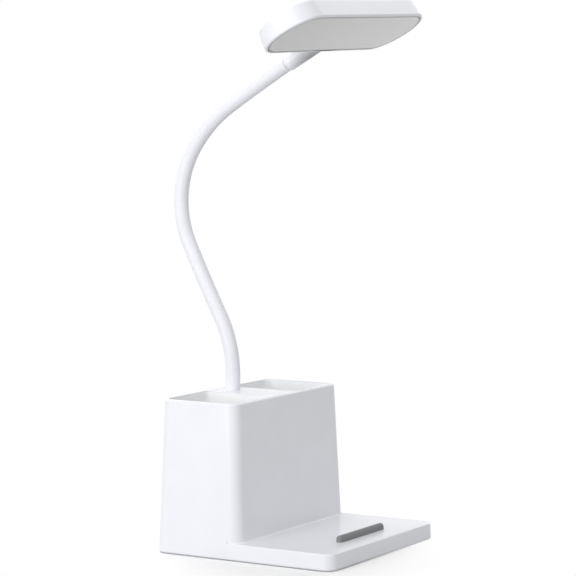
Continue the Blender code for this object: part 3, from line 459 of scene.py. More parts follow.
WHITE: Colour = (0.83, 0.84, 0.88)
CASING = CasingFinish("casing_white", WHITE, 0.22, reflection=0.35, gloss_change=0.03, grain_strength=0.02)
HEAD_WHITE = HeadFinish("head_white", WHITE, 0.3, gloss_change=0.03, grain_strength=0.02)
COVER_WHITE = Finish("cover_white", (0.82, 0.82, 0.825), 0.5, grain_scale=1400.0, grain_strength=0.3)
SLEEVE = Finish(
    "sleeve_silicone", WHITE, 0.5, reflection=0.3, gloss_change=0.04, grain_strength=0.02, tone_scale=90.0
)
DIFFUSER = MilkyFinish("diffuser_milky", (0.82, 0.82, 0.82), 0.5, grain_scale=3600.0, tone_scale=25.0)
# Dark rubber, made darker than the rubber alone as painted shade for the shadow of a phone resting behind
# the bar.
STOP_RUBBER = Finish(
    "stop_rubber", (0.04, 0.041, 0.043), 0.62, reflection=0.3, grain_scale=1700.0, grain_strength=0.35
)
FOOT_RUBBER = Finish("foot_rubber", (0.03, 0.03, 0.03), 0.8, grain_scale=1200.0, grain_strength=0.4)
STEEL = BrushedFinish("plated_steel", (0.60, 0.60, 0.62), 0.32, metallic=1.0, gloss_change=0.15)
ALUMINIUM = BrushedFinish("lamp_board_metal", (0.78, 0.79, 0.80), 0.4, metallic=1.0)
BOARD = BoardFinish("circuit_board", (0.03, 0.24, 0.11), 0.4, coat=0.3)
BLACK = ContactFinish("contact_black", (0.02, 0.02, 0.02), 0.4)
CHIP = Finish("chip_black", (0.02, 0.02, 0.022), 0.55, grain_strength=0.3)
CELL = Finish("cell_wrap", (0.06, 0.20, 0.50), 0.35, coat=0.4)
GREY = Finish("cradle_grey", (0.35, 0.36, 0.38), 0.5)
RED_WIRE = Finish("wire_red", (0.55, 0.03, 0.03), 0.45)
WHITE_WIRE = Finish("wire_white", (0.78, 0.78, 0.78), 0.45)
LAMP_ROW = LampRowFinish("lamp_row", (0.90, 0.72, 0.16), 0.35, coat=0.5)


class Cut(Enum):
    """What a helper solid does to the piece it meets."""

    AWAY = "DIFFERENCE"
    JOINED = "UNION"


class Skin:
    """A mesh under construction, made of rings of points and the bands between them."""

    def __init__(self) -> None:
        """Starts an empty mesh."""
        self.mesh = bmesh.new()

    def ring(self, points: Iterable[Sequence[float]]) -> list[bmesh.types.BMVert]:
        """New vertices at these points."""
        return [self.mesh.verts.new(point) for point in points]

    def face(self, corners: Sequence[bmesh.types.BMVert]) -> None:
        """Adds a face.

        Args:
            corners: Its vertices, each counted once.
        """
        distinct = list(dict.fromkeys(corners))
        if len(distinct) > 2:
            self.mesh.faces.new(distinct)

    def band(self, lower: Sequence[bmesh.types.BMVert], upper: Sequence[bmesh.types.BMVert]) -> None:
        """Adds the faces between two rings.

        Args:
            lower: The first ring.
            upper: The second ring, of the same length.
        """
        next_lower, next_upper = [*lower[1:], lower[0]], [*upper[1:], upper[0]]
        for corners in zip(lower, next_lower, next_upper, upper):
            self.face(corners)

    def tube(self, rings: Sequence[Sequence[Sequence[float]]], ends: bool = True) -> "Skin":
        """Adds rings joined one to the next.

        Args:
            rings: Lists of points, all of one length.
            ends: Whether the first and last ring are closed by a face.

        Returns:
            This skin, so that calls can follow one another.
        """
        made = [self.ring(points) for points in rings]
        for lower, upper in zip(made, made[1:]):
            self.band(lower, upper)
        if ends:
            self.face(made[0][::-1])
            self.face(made[-1])
        return self

    def piece(self, name: str, place: Matrix | None = None) -> bpy.types.Object:
        """Puts the finished mesh in the scene.

        Args:
            name: The object's name.
            place: What the points are multiplied by, for a piece built in a frame of its own.

        Returns:
            The new object.
        """
        if place is not None:
            bmesh.ops.transform(self.mesh, matrix=place, verts=self.mesh.verts)
        bmesh.ops.recalc_face_normals(self.mesh, faces=self.mesh.faces)
        data = bpy.data.meshes.new(name)
        self.mesh.to_mesh(data)
        self.mesh.free()
        made = bpy.data.objects.new(name, data)
        bpy.context.scene.collection.objects.link(made)
        return made


def carve(target: bpy.types.Object, helpers: Sequence[tuple[Cut, bpy.types.Object]]) -> None:
    """Cuts or joins helper solids into a piece, and removes them.

    Args:
        target: The piece.
        helpers: The helper solids, each after what it does.
    """
    for cut, helper in helpers:
        modifier = target.modifiers.new(cut.name, "BOOLEAN")
        modifier.operation = cut.value
        modifier.solver = "EXACT"
        modifier.object = helper
    shaped = bpy.data.meshes.new_from_object(target.evaluated_get(bpy.context.evaluated_depsgraph_get()))
    target.modifiers.clear()
    target.data = shaped
    for _, helper in helpers:
        bpy.data.objects.remove(helper, do_unlink=True)


def dress(piece: bpy.types.Object, finish: Finish) -> None:
    """Gives a piece its finish, and smooth shading between its sharp edges.

    Args:
        piece: The piece.
        finish: Its surface.
    """
    piece.data.materials.clear()
    piece.data.materials.append(finish.material())
    piece.data.shade_smooth()
    piece.data.set_sharp_from_angle(angle=SHARP_ANGLE)
    modifier = piece.modifiers.new("Even shading", "WEIGHTED_NORMAL")
    modifier.mode = "FACE_AREA"
    modifier.keep_sharp = True


def settle(piece: bpy.types.Object, finish: Finish, body: str, nodes: Sequence[str]) -> None:
    """Dresses a piece that stands for CAD nodes, and lets it ride on their body.

    Args:
        piece: The piece.
        finish: Its surface.
        body: The body that it rides on.
        nodes: The CAD nodes that it stands for.
    """
    dress(piece, finish)
    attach(piece, body)
    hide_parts(*nodes)
    LOG.info("%s stands for %s", piece.name, ", ".join(nodes))


def arc(centre: Flat, radius: float, start: float, end: float, steps: int) -> list[Flat]:
    """Points on an arc.

    Args:
        centre: Its centre.
        radius: Its radius.
        start: The first angle, in radians from +X.
        end: The last angle.
        steps: How many steps it has.

    Returns:
        One point more than it has steps.
    """
    points = []
    for k in range(steps + 1):
        angle = start + (end - start) * k / steps
        points.append((centre[0] + radius * math.cos(angle), centre[1] + radius * math.sin(angle)))
    return points


def full_turn(radius: float, sides: int, centre: Flat = (0.0, 0.0)) -> list[Flat]:
    """Points all round a circle."""
    return arc(centre, radius, 0.0, math.tau * (sides - 1) / sides, sides - 1)


def rounded_box(
    low: Flat, high: Flat, radii: float | Sequence[float], steps: int, inset: float = 0.0
) -> list[Flat]:
    """A rectangle with round corners, from the rear right by the rear left to the front right.

    Args:
        low: Its front left corner.
        high: Its rear right corner.
        radii: The radius of every corner, or one for each.
        steps: How many steps each corner has.
        inset: How far the whole outline is drawn in.

    Returns:
        The outline's points.
    """
    left, front, right, rear = low[0] + inset, low[1] + inset, high[0] - inset, high[1] - inset
    corners = ((right, rear, -1, -1), (left, rear, 1, -1), (left, front, 1, 1), (right, front, -1, 1))
    full = [radii] * len(corners) if isinstance(radii, float) else radii
    points = []
    for number, (x, y, toward_x, toward_y) in enumerate(corners):
        radius = full[number] - inset
        centre = (x + toward_x * radius, y + toward_y * radius)
        points += arc(centre, radius, number * QUARTER, (number + 1) * QUARTER, steps)
    return points


def round_ended(length: float, width: float, steps: int, centre: Flat = (0.0, 0.0)) -> list[Flat]:
    """An outline along X with a half circle at each end.

    Args:
        length: Its whole length.
        width: Its width.
        steps: How many steps each end has.
        centre: Its middle.

    Returns:
        The outline's points.
    """
    radius = width / 2
    straight = length / 2 - radius
    points = arc((centre[0] + straight, centre[1]), radius, -QUARTER, QUARTER, steps)
    return points + arc((centre[0] - straight, centre[1]), radius, QUARTER, 3 * QUARTER, steps)


def rectangle(centre: Flat, width: float, depth: float) -> list[Flat]:
    """A rectangle round a point."""
    signs = ((-1, -1), (1, -1), (1, 1), (-1, 1))
    return [(centre[0] + x * width / 2, centre[1] + y * depth / 2) for x, y in signs]


def at_height(points: Iterable[Flat], height: float) -> list[Vector]:
    """Flat points lifted to a height."""
    return [Vector((x, y, height)) for x, y in points]


def upright(points: Iterable[Flat], y: float, z: float) -> list[Vector]:
    """Flat points stood up round a line along Y."""
    return [Vector((x, y, z - drop)) for x, drop in points]


def prism(outline: Sequence[Flat], low: float, high: float) -> Skin:
    """A solid with straight walls between two heights."""
    return Skin().tube([at_height(outline, height) for height in (low, high)])


def turned(profile: Iterable[Flat], sides: int, centre: Flat) -> Skin:
    """A turned solid from (radius, height) pairs."""
    return Skin().tube([at_height(full_turn(radius, sides, centre), height) for radius, height in profile])


def eased(share: float) -> float:
    """A share with a slow start and a slow end."""
    return share * share * (3 - 2 * share)


def round_edge(radius: float, steps: int, turn: float = QUARTER) -> list[Flat]:
    """A round edge as (inset, drop) pairs, from the wall up to the flat or through a smaller turn."""
    angles = [turn * k / steps for k in range(steps + 1)]
    return [(radius * (1 - math.cos(angle)), radius * (1 - math.sin(angle))) for angle in angles]


@dataclass(frozen=True)
class Well:
    """One of the two wells: side is -1 on the left and 1 on the right. Its lip turns outwards."""

    side: int
    floor_radius: float = 0.002
    floor_steps: int = 5
    lip: float = 0.0005
    lip_steps: int = 5
    lip_turn: float = math.radians(75)


@dataclass
class BaseMoulding:
    """The white base: a tall box with two wells behind a low ledge.

    Its corners are counted in quarter turns from the rear right, which makes the front ones 2 and 3.
    """

    width: float = 0.134
    depth: float = 0.133
    box_depth: float = 0.0643
    height: float = 0.0995
    ledge: float = 0.011
    draft: float = math.tan(math.radians(2.0))
    corner: float = 0.008
    corner_steps: int = 12
    front_quarters: tuple[int, int] = (2, 3)
    inner_steps: int = 8
    wall: float = 0.0022
    stand: float = 0.001
    skirt: float = 0.0004
    bottom_radius: float = 0.0016
    bottom_start: float = math.radians(30)
    bottom_steps: int = 8
    rim: float = 0.0014
    rim_steps: int = 6
    ledge_edge: float = 0.0008
    ledge_steps: int = 4
    runout: float = 0.012
    runout_steps: int = 8
    crease: float = 0.0012
    crease_steps: int = 4
    crease_share: float = 0.45
    margin: float = 0.0006
    lead_in: float = 0.002
    bridge: float = 0.028
    bridge_corner: float = 0.003
    channel_steps: int = 4
    cavity_rim: float = 0.0041
    cavity_corner: float = 0.0051
    port_width: float = 0.0096
    port_height: float = 0.0038
    port_z: float = 0.0165
    port_depth: float = 0.0072
    port_steps: int = 10
    neck_hole: float = 0.0039
    neck_sides: int = 32
    neck_from_back: float = 0.0177
    wells: tuple[Well, Well] = (Well(-1), Well(1))

    def side_x(self, z: float) -> float:
        """Half the width at a height."""
        return self.width / 2 - self.draft * z

    def back_y(self, z: float) -> float:
        """Where the rear wall stands at a height."""
        return self.depth / 2 - self.draft * z

    def front_y(self, z: float) -> float:
        """Where the ledge's front stands at a height."""
        return self.draft * z - self.depth / 2

    def box_front_y(self, z: float) -> float:
        """Where the tall box's front stands at a height."""
        return self.depth / 2 - self.box_depth + self.draft * z

    def box_outline(self, z: float, inset: float = 0.0) -> list[Flat]:
        """The tall box's outline at a height, from the right wall by the rear half to the front half.

        Args:
            z: The height.
            inset: How far it is drawn in.

        Returns:
            The outline's points, with one more on each side wall than its corners need.
        """
        x, front = self.side_x(z), self.box_front_y(z)
        outline = rounded_box((-x, front), (x, self.back_y(z)), self.corner, self.corner_steps, inset)
        half = len(outline) // 2
        behind = front + self.corner + self.lead_in
        return [(x - inset, behind), *outline[:half], (inset - x, behind), *outline[half:]]

    def rear_count(self) -> int:
        """How many points the rear half of an outline has, in two corners and on two side walls."""
        return 2 * (self.corner_steps + 2)

    def footprint(self, z: float, inset: float, front_inset: float) -> list[Flat]:
        """The full outline. Its rear half is the box's, so that both share their side walls.

        Args:
            z: The height.
            inset: How far the rear half is drawn in.
            front_inset: How far the front half is drawn in.

        Returns:
            The outline's points.
        """
        x = self.side_x(z)
        shared_y = self.box_front_y(z) + self.corner
        low, high = (-x, self.front_y(z)), (x, self.back_y(z))
        whole = rounded_box(low, high, self.corner, self.corner_steps, front_inset)
        side = []
        for k in range(self.runout_steps + 1):
            share = k / self.runout_steps
            across = x - inset - (front_inset - inset) * eased(share)
            side.append((across, shared_y - self.runout * share))
        left = [(-right, y) for right, y in side]
        rear = self.box_outline(z, inset)[: self.rear_count()]
        return rear + left + whole[len(whole) // 2 :] + side[::-1]

    def crease_ring(self, step: int) -> list[Vector]:
        """A ring of the round between the ledge and the box's front, without its ends.

        Args:
            step: How many steps it stands above the ledge.

        Returns:
            The ring's points.
        """
        turn = QUARTER * step / self.crease_steps
        points = []
        for number, quarter in enumerate(self.front_quarters):
            for k in range(self.corner_steps + 1):
                angle = (quarter + k / self.corner_steps) * QUARTER
                place = self.rear_count() + number * (self.corner_steps + 1) + k
                across = abs(self.box_outline(self.ledge)[place][0])
                radius = min(self.crease, self.crease_share * (self.side_x(self.ledge) - across))
                z = self.ledge + radius * (1 - math.cos(turn))
                away = radius * (1 - math.sin(turn))
                x, y = self.box_outline(z)[place]
                points.append(Vector((x + away * math.cos(angle), y + away * math.sin(angle), z)))
        return points[1:-1]

    def lower_levels(self) -> list[tuple[float, float, float]]:
        """The outside up to the ledge's top.

        Returns:
            Each ring's height, and how far its rear and front halves are drawn in.
        """
        levels = []
        for k in range(self.bottom_steps + 1):
            angle = self.bottom_start + (QUARTER - self.bottom_start) * k / self.bottom_steps
            inset = self.bottom_radius * (1 - math.sin(angle))
            z = self.skirt + self.bottom_radius * (math.cos(self.bottom_start) - math.cos(angle))
            levels.append((z, inset, inset))
        edge = round_edge(self.ledge_edge, self.ledge_steps)
        return levels + [(self.ledge - drop, 0.0, inset) for inset, drop in edge]

    def outer_skin(self) -> Skin:
        """The outside: bottom edge, ledge, crease, tall walls and rim.

        Returns:
            The closed skin.
        """
        skin = Skin()
        levels = self.lower_levels()
        rings = [skin.ring(at_height(self.footprint(z, rear, front), z)) for z, rear, front in levels]
        skin.face(rings[0][::-1])
        top = rings[-1]
        count = self.rear_count()
        box = []
        for step in range(self.crease_steps + 1):
            front = skin.ring(self.crease_ring(step))
            if step == 0:
                skin.face(top[count:] + front[::-1])
            box.append([*top[:count], top[count], *front, top[-1]])
        levels = [(self.ledge + self.crease + self.margin, 0.0)]
        levels.append((self.height - self.rim - self.margin, 0.0))
        levels += [(self.height - drop, inset) for inset, drop in round_edge(self.rim, self.rim_steps)]
        box += [skin.ring(at_height(self.box_outline(z, inset), z)) for z, inset in levels]
        skin.face(box[-1])
        for group in (rings, box):
            for lower, upper in zip(group, group[1:]):
                skin.band(lower, upper)
        return skin

    def well_rings(self, well: Well) -> list[list[Vector]]:
        """The hollow of a well, with a round floor edge and a round lip.

        Args:
            well: The well.

        Returns:
            The hollow's rings, from its floor upwards.
        """
        inner = well.side * self.bridge / 2
        outer = well.side * (self.side_x(self.height) - self.wall)
        low = (min(inner, outer), self.box_front_y(self.height) + self.wall)
        high = (max(inner, outer), self.back_y(self.height) - self.wall)
        wide, narrow = self.corner - self.wall, self.bridge_corner
        radii = [wide, narrow, narrow, wide] if well.side > 0 else [narrow, wide, wide, narrow]
        floor = round_edge(well.floor_radius, well.floor_steps)
        lip = round_edge(well.lip, well.lip_steps, well.lip_turn)
        levels = [(inset, self.ledge + drop) for inset, drop in floor[::-1]]
        levels += [(-out, self.height - drop) for out, drop in lip]
        out, drop = lip[-1]
        levels.append((-out - (drop + self.rim) * math.tan(well.lip_turn), self.height + self.rim))
        rings = []
        for inset, z in levels:
            rings.append(at_height(rounded_box(low, high, radii, self.inner_steps, inset), z))
        return rings

    def cavity_outline(self, clearance: float = 0.0) -> list[Flat]:
        """The opening under the base, which the bottom cover fits into.

        Args:
            clearance: How much smaller than the opening it is.

        Returns:
            The outline's points.
        """
        inset = self.bottom_radius * (1 - math.sin(self.bottom_start)) + self.cavity_rim + clearance
        low = (inset - self.side_x(0), self.front_y(0) + inset)
        high = (self.side_x(0) - inset, self.back_y(0) - inset)
        return rounded_box(low, high, self.cavity_corner, self.inner_steps)

    def channel_rings(self) -> list[list[Vector]]:
        """The hollow under the bridge.

        Returns:
            Its lower and its upper ring.
        """
        half = self.bridge / 2 - self.wall
        rings = []
        for z in (self.ledge - 2 * self.wall, self.height - self.wall):
            low, high = (-half, self.box_front_y(z) + self.wall), (half, self.back_y(z) - self.wall)
            rings.append(at_height(rounded_box(low, high, self.bridge_corner, self.channel_steps), z))
        return rings

    def port_rings(self) -> list[list[Vector]]:
        """The opening for the charging socket, a little wider at its mouth.

        Returns:
            The opening's rings, from the inside outwards.
        """
        mouth = self.back_y(self.port_z)
        rings = []
        for y, extra in ((mouth - self.port_depth, 0.0), (mouth - GAP, 0.0), (mouth + GAP, GAP * 2)):
            outline = round_ended(self.port_width + extra, self.port_height + extra, self.port_steps)
            rings.append(upright(outline, y, self.port_z))
        return rings

    def build(self, stop: "LedgeStop") -> None:
        """Builds the moulding and cuts its wells, hollows and openings.

        Args:
            stop: The bar that its seat is cut for.
        """
        moulding = self.outer_skin().piece("base_moulding")
        seat = stop.outline(self, -GAP / 2)
        hole = ((self.neck_hole, self.height - 2 * self.wall), (self.neck_hole, self.height + OVERRUN))
        hollows = [
            *(Skin().tube(self.well_rings(well)) for well in self.wells),
            prism(self.cavity_outline(), -OVERRUN, self.ledge - self.wall),
            Skin().tube(self.channel_rings()),
            prism(seat, self.ledge - stop.seat - GAP, self.ledge + OVERRUN),
            Skin().tube(self.port_rings()),
            turned(hole, self.neck_sides, (0.0, self.depth / 2 - self.neck_from_back)),
        ]
        carve(moulding, [(Cut.AWAY, skin.piece("base_hollow")) for skin in hollows])
        settle(moulding, CASING, "base", ["base_shell"])


@dataclass
class LedgeStop:
    """The soft bar on the ledge."""

    width: float = 0.056
    depth: float = 0.0046
    height: float = 0.004
    from_front: float = 0.0162
    seat: float = 0.0009
    top_steps: int = 10
    end_steps: int = 16

    def outline(self, base: BaseMoulding, inset: float) -> list[Flat]:
        """The bar's outline, drawn in by inset."""
        y = self.from_front - base.depth / 2 + self.depth / 2
        return round_ended(self.width - 2 * inset, self.depth - 2 * inset, self.end_steps, (0.0, y))

    def build(self, base: BaseMoulding) -> None:
        """Builds the bar with a rounded top.

        Args:
            base: The moulding that it lies in.
        """
        levels = [(0.0, base.ledge - self.seat)]
        top = base.ledge + self.height
        levels += [(inset, top - drop) for inset, drop in round_edge(self.depth / 2, self.top_steps)[:-1]]
        bar = Skin().tube([at_height(self.outline(base, inset), z) for inset, z in levels])
        settle(bar.piece("phone_stop_bar"), STOP_RUBBER, "base", ["phone_stop"])


class Corner(Enum):
    """A corner of the base, with its signs along X and Y."""

    FRONT_LEFT = (-1, -1)
    FRONT_RIGHT = (1, -1)
    REAR_LEFT = (-1, 1)
    REAR_RIGHT = (1, 1)

    def place(self, x: float, y: float) -> Flat:
        """The corner of a rectangle round the middle."""
        return self.value[0] * x, self.value[1] * y

    def node(self, kind: str) -> str:
        """The name of the CAD node of a kind at this corner."""
        return f"{kind}_{self.name.lower()}"


@dataclass
class Underside:
    """The bottom cover with its feet and screws."""

    thickness: float = 0.0022
    edge: float = 0.0004
    edge_steps: int = 4
    foot_radius: float = 0.0065
    foot_from_edge: float = 0.016
    foot_seat: float = 0.001
    foot_edge: float = 0.0005
    foot_steps: int = 5
    dish: float = 0.00015
    dish_ring: float = 0.00325
    dish_radius: float = 0.005
    dish_rim: float = 0.00525
    screw_from_side: float = 0.031
    screw_from_end: float = 0.0125
    screw_head: float = 0.0026
    screw_head_height: float = 0.001
    screw_bevel: float = 0.0001625
    screw_shank: float = 0.0011
    screw_bite: float = 0.0048
    recess_width: float = 0.0007
    recess_length: float = 0.0026
    recess_depth: float = 0.0006
    sides: int = 48

    def foot_place(self, base: BaseMoulding, corner: Corner) -> Flat:
        """Where a foot stands."""
        return corner.place(base.width / 2 - self.foot_from_edge, base.depth / 2 - self.foot_from_edge)

    def screw_place(self, base: BaseMoulding, corner: Corner) -> Flat:
        """Where a screw stands."""
        return corner.place(base.width / 2 - self.screw_from_side, base.depth / 2 - self.screw_from_end)

    def build(self, base: BaseMoulding) -> None:
        """Builds the cover, then a foot and a screw at each corner.

        Args:
            base: The moulding that the cover closes.
        """
        self.build_cover(base)
        for corner in Corner:
            self.build_foot(base, corner)
            self.build_screw(base, corner)

    def build_cover(self, base: BaseMoulding) -> None:
        """Builds the cover with a seat for each foot and a counterbore for each screw.

        Args:
            base: The moulding that the cover closes.
        """
        edge = round_edge(self.edge, self.edge_steps)[::-1]
        levels = [(GAP + inset, base.stand + drop) for inset, drop in edge]
        levels.append((GAP, base.stand + self.thickness))
        rings = [at_height(base.cavity_outline(clearance), z) for clearance, z in levels]
        cover = Skin().tube(rings).piece("bottom_cover_plate")
        low = base.stand - OVERRUN
        head_top = base.stand + self.screw_head_height + GAP
        seat = ((self.foot_radius + GAP, low), (self.foot_radius + GAP, base.stand + self.foot_seat + GAP))
        bore = (
            (self.screw_head + GAP, low),
            (self.screw_head + GAP, head_top),
            (self.screw_shank + GAP, head_top),
            (self.screw_shank + GAP, base.stand + self.thickness + OVERRUN),
        )
        holes = []
        for corner in Corner:
            holes.append(turned(seat, self.sides, self.foot_place(base, corner)))
            holes.append(turned(bore, self.sides, self.screw_place(base, corner)))
        carve(cover, [(Cut.AWAY, skin.piece("cover_hole")) for skin in holes])
        settle(cover, COVER_WHITE, "base", ["bottom_cover"])

    def build_foot(self, base: BaseMoulding, corner: Corner) -> None:
        """Builds a foot with a round edge and a shallow dish under it.

        Args:
            base: The moulding that the foot carries.
            corner: The foot's corner.
        """
        profile = [(self.dish_ring, self.dish), (self.dish_radius, self.dish), (self.dish_rim, 0.0)]
        edge = round_edge(self.foot_edge, self.foot_steps)[::-1]
        profile += [(self.foot_radius - inset, drop) for inset, drop in edge]
        profile.append((self.foot_radius, base.stand + self.foot_seat))
        foot = turned(profile, self.sides, self.foot_place(base, corner))
        piece = foot.piece(f"foot_{corner.name.lower()}_pad")
        settle(piece, FOOT_RUBBER, "base", [corner.node("foot")])

    def build_screw(self, base: BaseMoulding, corner: Corner) -> None:
        """Builds a screw with a cross recess in its head.

        Args:
            base: The moulding that the screw bites into.
            corner: The screw's corner.
        """
        head_top = base.stand + self.screw_head_height
        profile = (
            (self.screw_head - self.screw_bevel, base.stand),
            (self.screw_head, base.stand + self.screw_bevel),
            (self.screw_head, head_top),
            (self.screw_shank, head_top),
            (self.screw_shank, base.stand + self.thickness + self.screw_bite),
        )
        place = self.screw_place(base, corner)
        screw = turned(profile, self.sides, place).piece(f"{corner.name.lower()}_screw")
        size = (self.recess_length, self.recess_width)
        helpers = []
        for width, depth in (size, size[::-1]):
            slot = rectangle(place, width, depth)
            recess = prism(slot, base.stand - OVERRUN, base.stand + self.recess_depth).piece("recess")
            helpers.append((Cut.AWAY, recess))
        carve(screw, helpers)
        settle(screw, STEEL, "base", [corner.node("cover_screw")])


@dataclass
class ChargingSocket:
    """The metal shell of the charging socket at the back."""

    width: float = 0.009
    height: float = 0.0032
    wall: float = 0.0003
    set_back: float = 0.0006
    board_from_back: float = 0.0072
    edge: float = 0.00008
    end_steps: int = 12

    def build(self, base: BaseMoulding) -> None:
        """Builds the shell as a cup that opens to the back.

        Args:
            base: The moulding that the socket looks out of.
        """
        rear = base.back_y(base.port_z) - self.set_back
        front = base.depth / 2 - self.board_from_back + GAP
        rings = []
        for inset, y in (
            (0.0, front),
            (0.0, rear - self.edge),
            (self.edge, rear),
            (self.wall - self.edge, rear),
            (self.wall, rear - self.edge),
            (self.wall, front + self.wall),
        ):
            outline = round_ended(self.width - 2 * inset, self.height - 2 * inset, self.end_steps)
            rings.append(upright(outline, y, base.port_z))
        shell = Skin().tube(rings).piece("charging_socket_shell")
        settle(shell, STEEL, "base", ["charging_port"])


@dataclass(frozen=True)
class Stretch:
    """One arc of the neck's middle line."""

    length: float
    turn: float


@dataclass
class Neck:
    """The gooseneck in its sleeve, with joints along its middle line."""

    foot_y: float = 0.0488
    foot_z: float = 0.0995
    radius: float = 0.0048
    joints: int = 9
    sides: int = 40
    ring_pitch: float = 0.0011
    bite: float = 0.008
    seam_width: float = 0.0011
    seam_depth: float = 0.0009
    stretches: tuple[Stretch, ...] = (
        Stretch(0.010, 0.0),
        Stretch(0.041, math.radians(-28.6)),
        Stretch(0.052, math.radians(3.1)),
        Stretch(0.066, math.radians(58.4)),
        Stretch(0.040, math.radians(24.7)),
        Stretch(0.0475, math.radians(2.4)),
        Stretch(0.006, 0.0),
    )

    def length(self) -> float:
        """The length up to the head's socket."""
        return sum(stretch.length for stretch in self.stretches)

    def point(self, distance: float) -> tuple[Vector, float]:
        """A point of the middle line.

        Args:
            distance: How far along the neck it stands, which may be beyond the neck's end.

        Returns:
            The point, and the line's heading there, from straight up towards the front.
        """
        y, z, heading, left = self.foot_y, self.foot_z, 0.0, distance
        for stretch in self.stretches:
            run = min(left, stretch.length)
            start = heading
            if stretch.turn == 0.0:
                y -= run * math.sin(heading)
                z += run * math.cos(heading)
            else:
                bend = stretch.turn / stretch.length
                heading = start + bend * run
                y += (math.cos(heading) - math.cos(start)) / bend
                z += (math.sin(heading) - math.sin(start)) / bend
            left -= run
            if left <= 0.0:
                break
        beyond = max(left, 0.0)
        return Vector((0.0, y - beyond * math.sin(heading), z + beyond * math.cos(heading))), heading

    def joint(self, number: int) -> float:
        """Where a joint stands.

        Args:
            number: The joint, counted from 1.

        Returns:
            How far along the neck it is.
        """
        first = self.stretches[0].length
        free = self.length() - first - self.stretches[-1].length
        return first + free * (number - 1) / (self.joints - 1)

    def ring(self, distance: float) -> list[Vector]:
        """A ring of the sleeve, square to the middle line, with the groove where it meets the socket.

        Args:
            distance: How far along the neck it stands.

        Returns:
            The ring's points.
        """
        centre, heading = self.point(distance)
        from_seam = abs(distance - self.length() + self.seam_width / 2)
        radius = self.radius - self.seam_depth * max(1 - 2 * from_seam / self.seam_width, 0.0)
        across = Vector((0.0, math.cos(heading), math.sin(heading)))
        return [centre + Vector((x, 0.0, 0.0)) + across * v for x, v in full_turn(radius, self.sides)]

    def ends(self, number: int) -> Flat:
        """Where the stretch of sleeve round a joint starts and ends.

        Args:
            number: The joint.

        Returns:
            Both distances along the neck.
        """
        half = (self.joint(2) - self.joint(1)) / 2
        start = 0.0 if number == 1 else self.joint(number) - half
        end = self.length() + self.bite if number == self.joints else self.joint(number) + half
        return start, end

    def stations(self, number: int) -> list[float]:
        """Where the rings of a stretch of sleeve stand, with three more at the groove.

        Args:
            number: The stretch's joint.

        Returns:
            Each ring's distance along the neck.
        """
        start, end = self.ends(number)
        count = round((end - start) / self.ring_pitch)
        stations = [start + (end - start) * k / count for k in range(count + 1)]
        if number == self.joints:
            stations += [self.length() - self.seam_width * share for share in (0.0, HALF, 1.0)]
        return sorted(stations)

    def nodes(self, number: int) -> list[str]:
        """The CAD nodes that a stretch of sleeve stands for.

        Args:
            number: The stretch's joint.

        Returns:
            The nodes' names.
        """
        if number == 1:
            return ["neck_root"]
        last = f"neck_link_{number - 1:02d}"
        return [last, "neck_tip"] if number == self.joints else [last]

    def body(self, number: int) -> str:
        """The CAD body beyond a joint, or the base.

        Args:
            number: The joint, or 0 for the base.

        Returns:
            The body's name.
        """
        if number == 0:
            return "base"
        return "head" if number == self.joints else f"link_{number:02d}"

    def build(self) -> None:
        """Builds the sleeve in stretches, each round one joint."""
        for number in range(1, self.joints + 1):
            rings = [self.ring(distance) for distance in self.stations(number)]
            sleeve = Skin().tube(rings, number in (1, self.joints)).piece(f"sleeve_{number:02d}")
            dress(sleeve, SLEEVE)
            low, high = self.ends(number)
            high = min(high, self.length())
            self.point(low)[0]
            self.point(high)[0]
            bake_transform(sleeve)
            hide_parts(*self.nodes(number))
            LOG.info("%s bends between %s and %s", sleeve.name, self.body(number - 1), self.body(number))


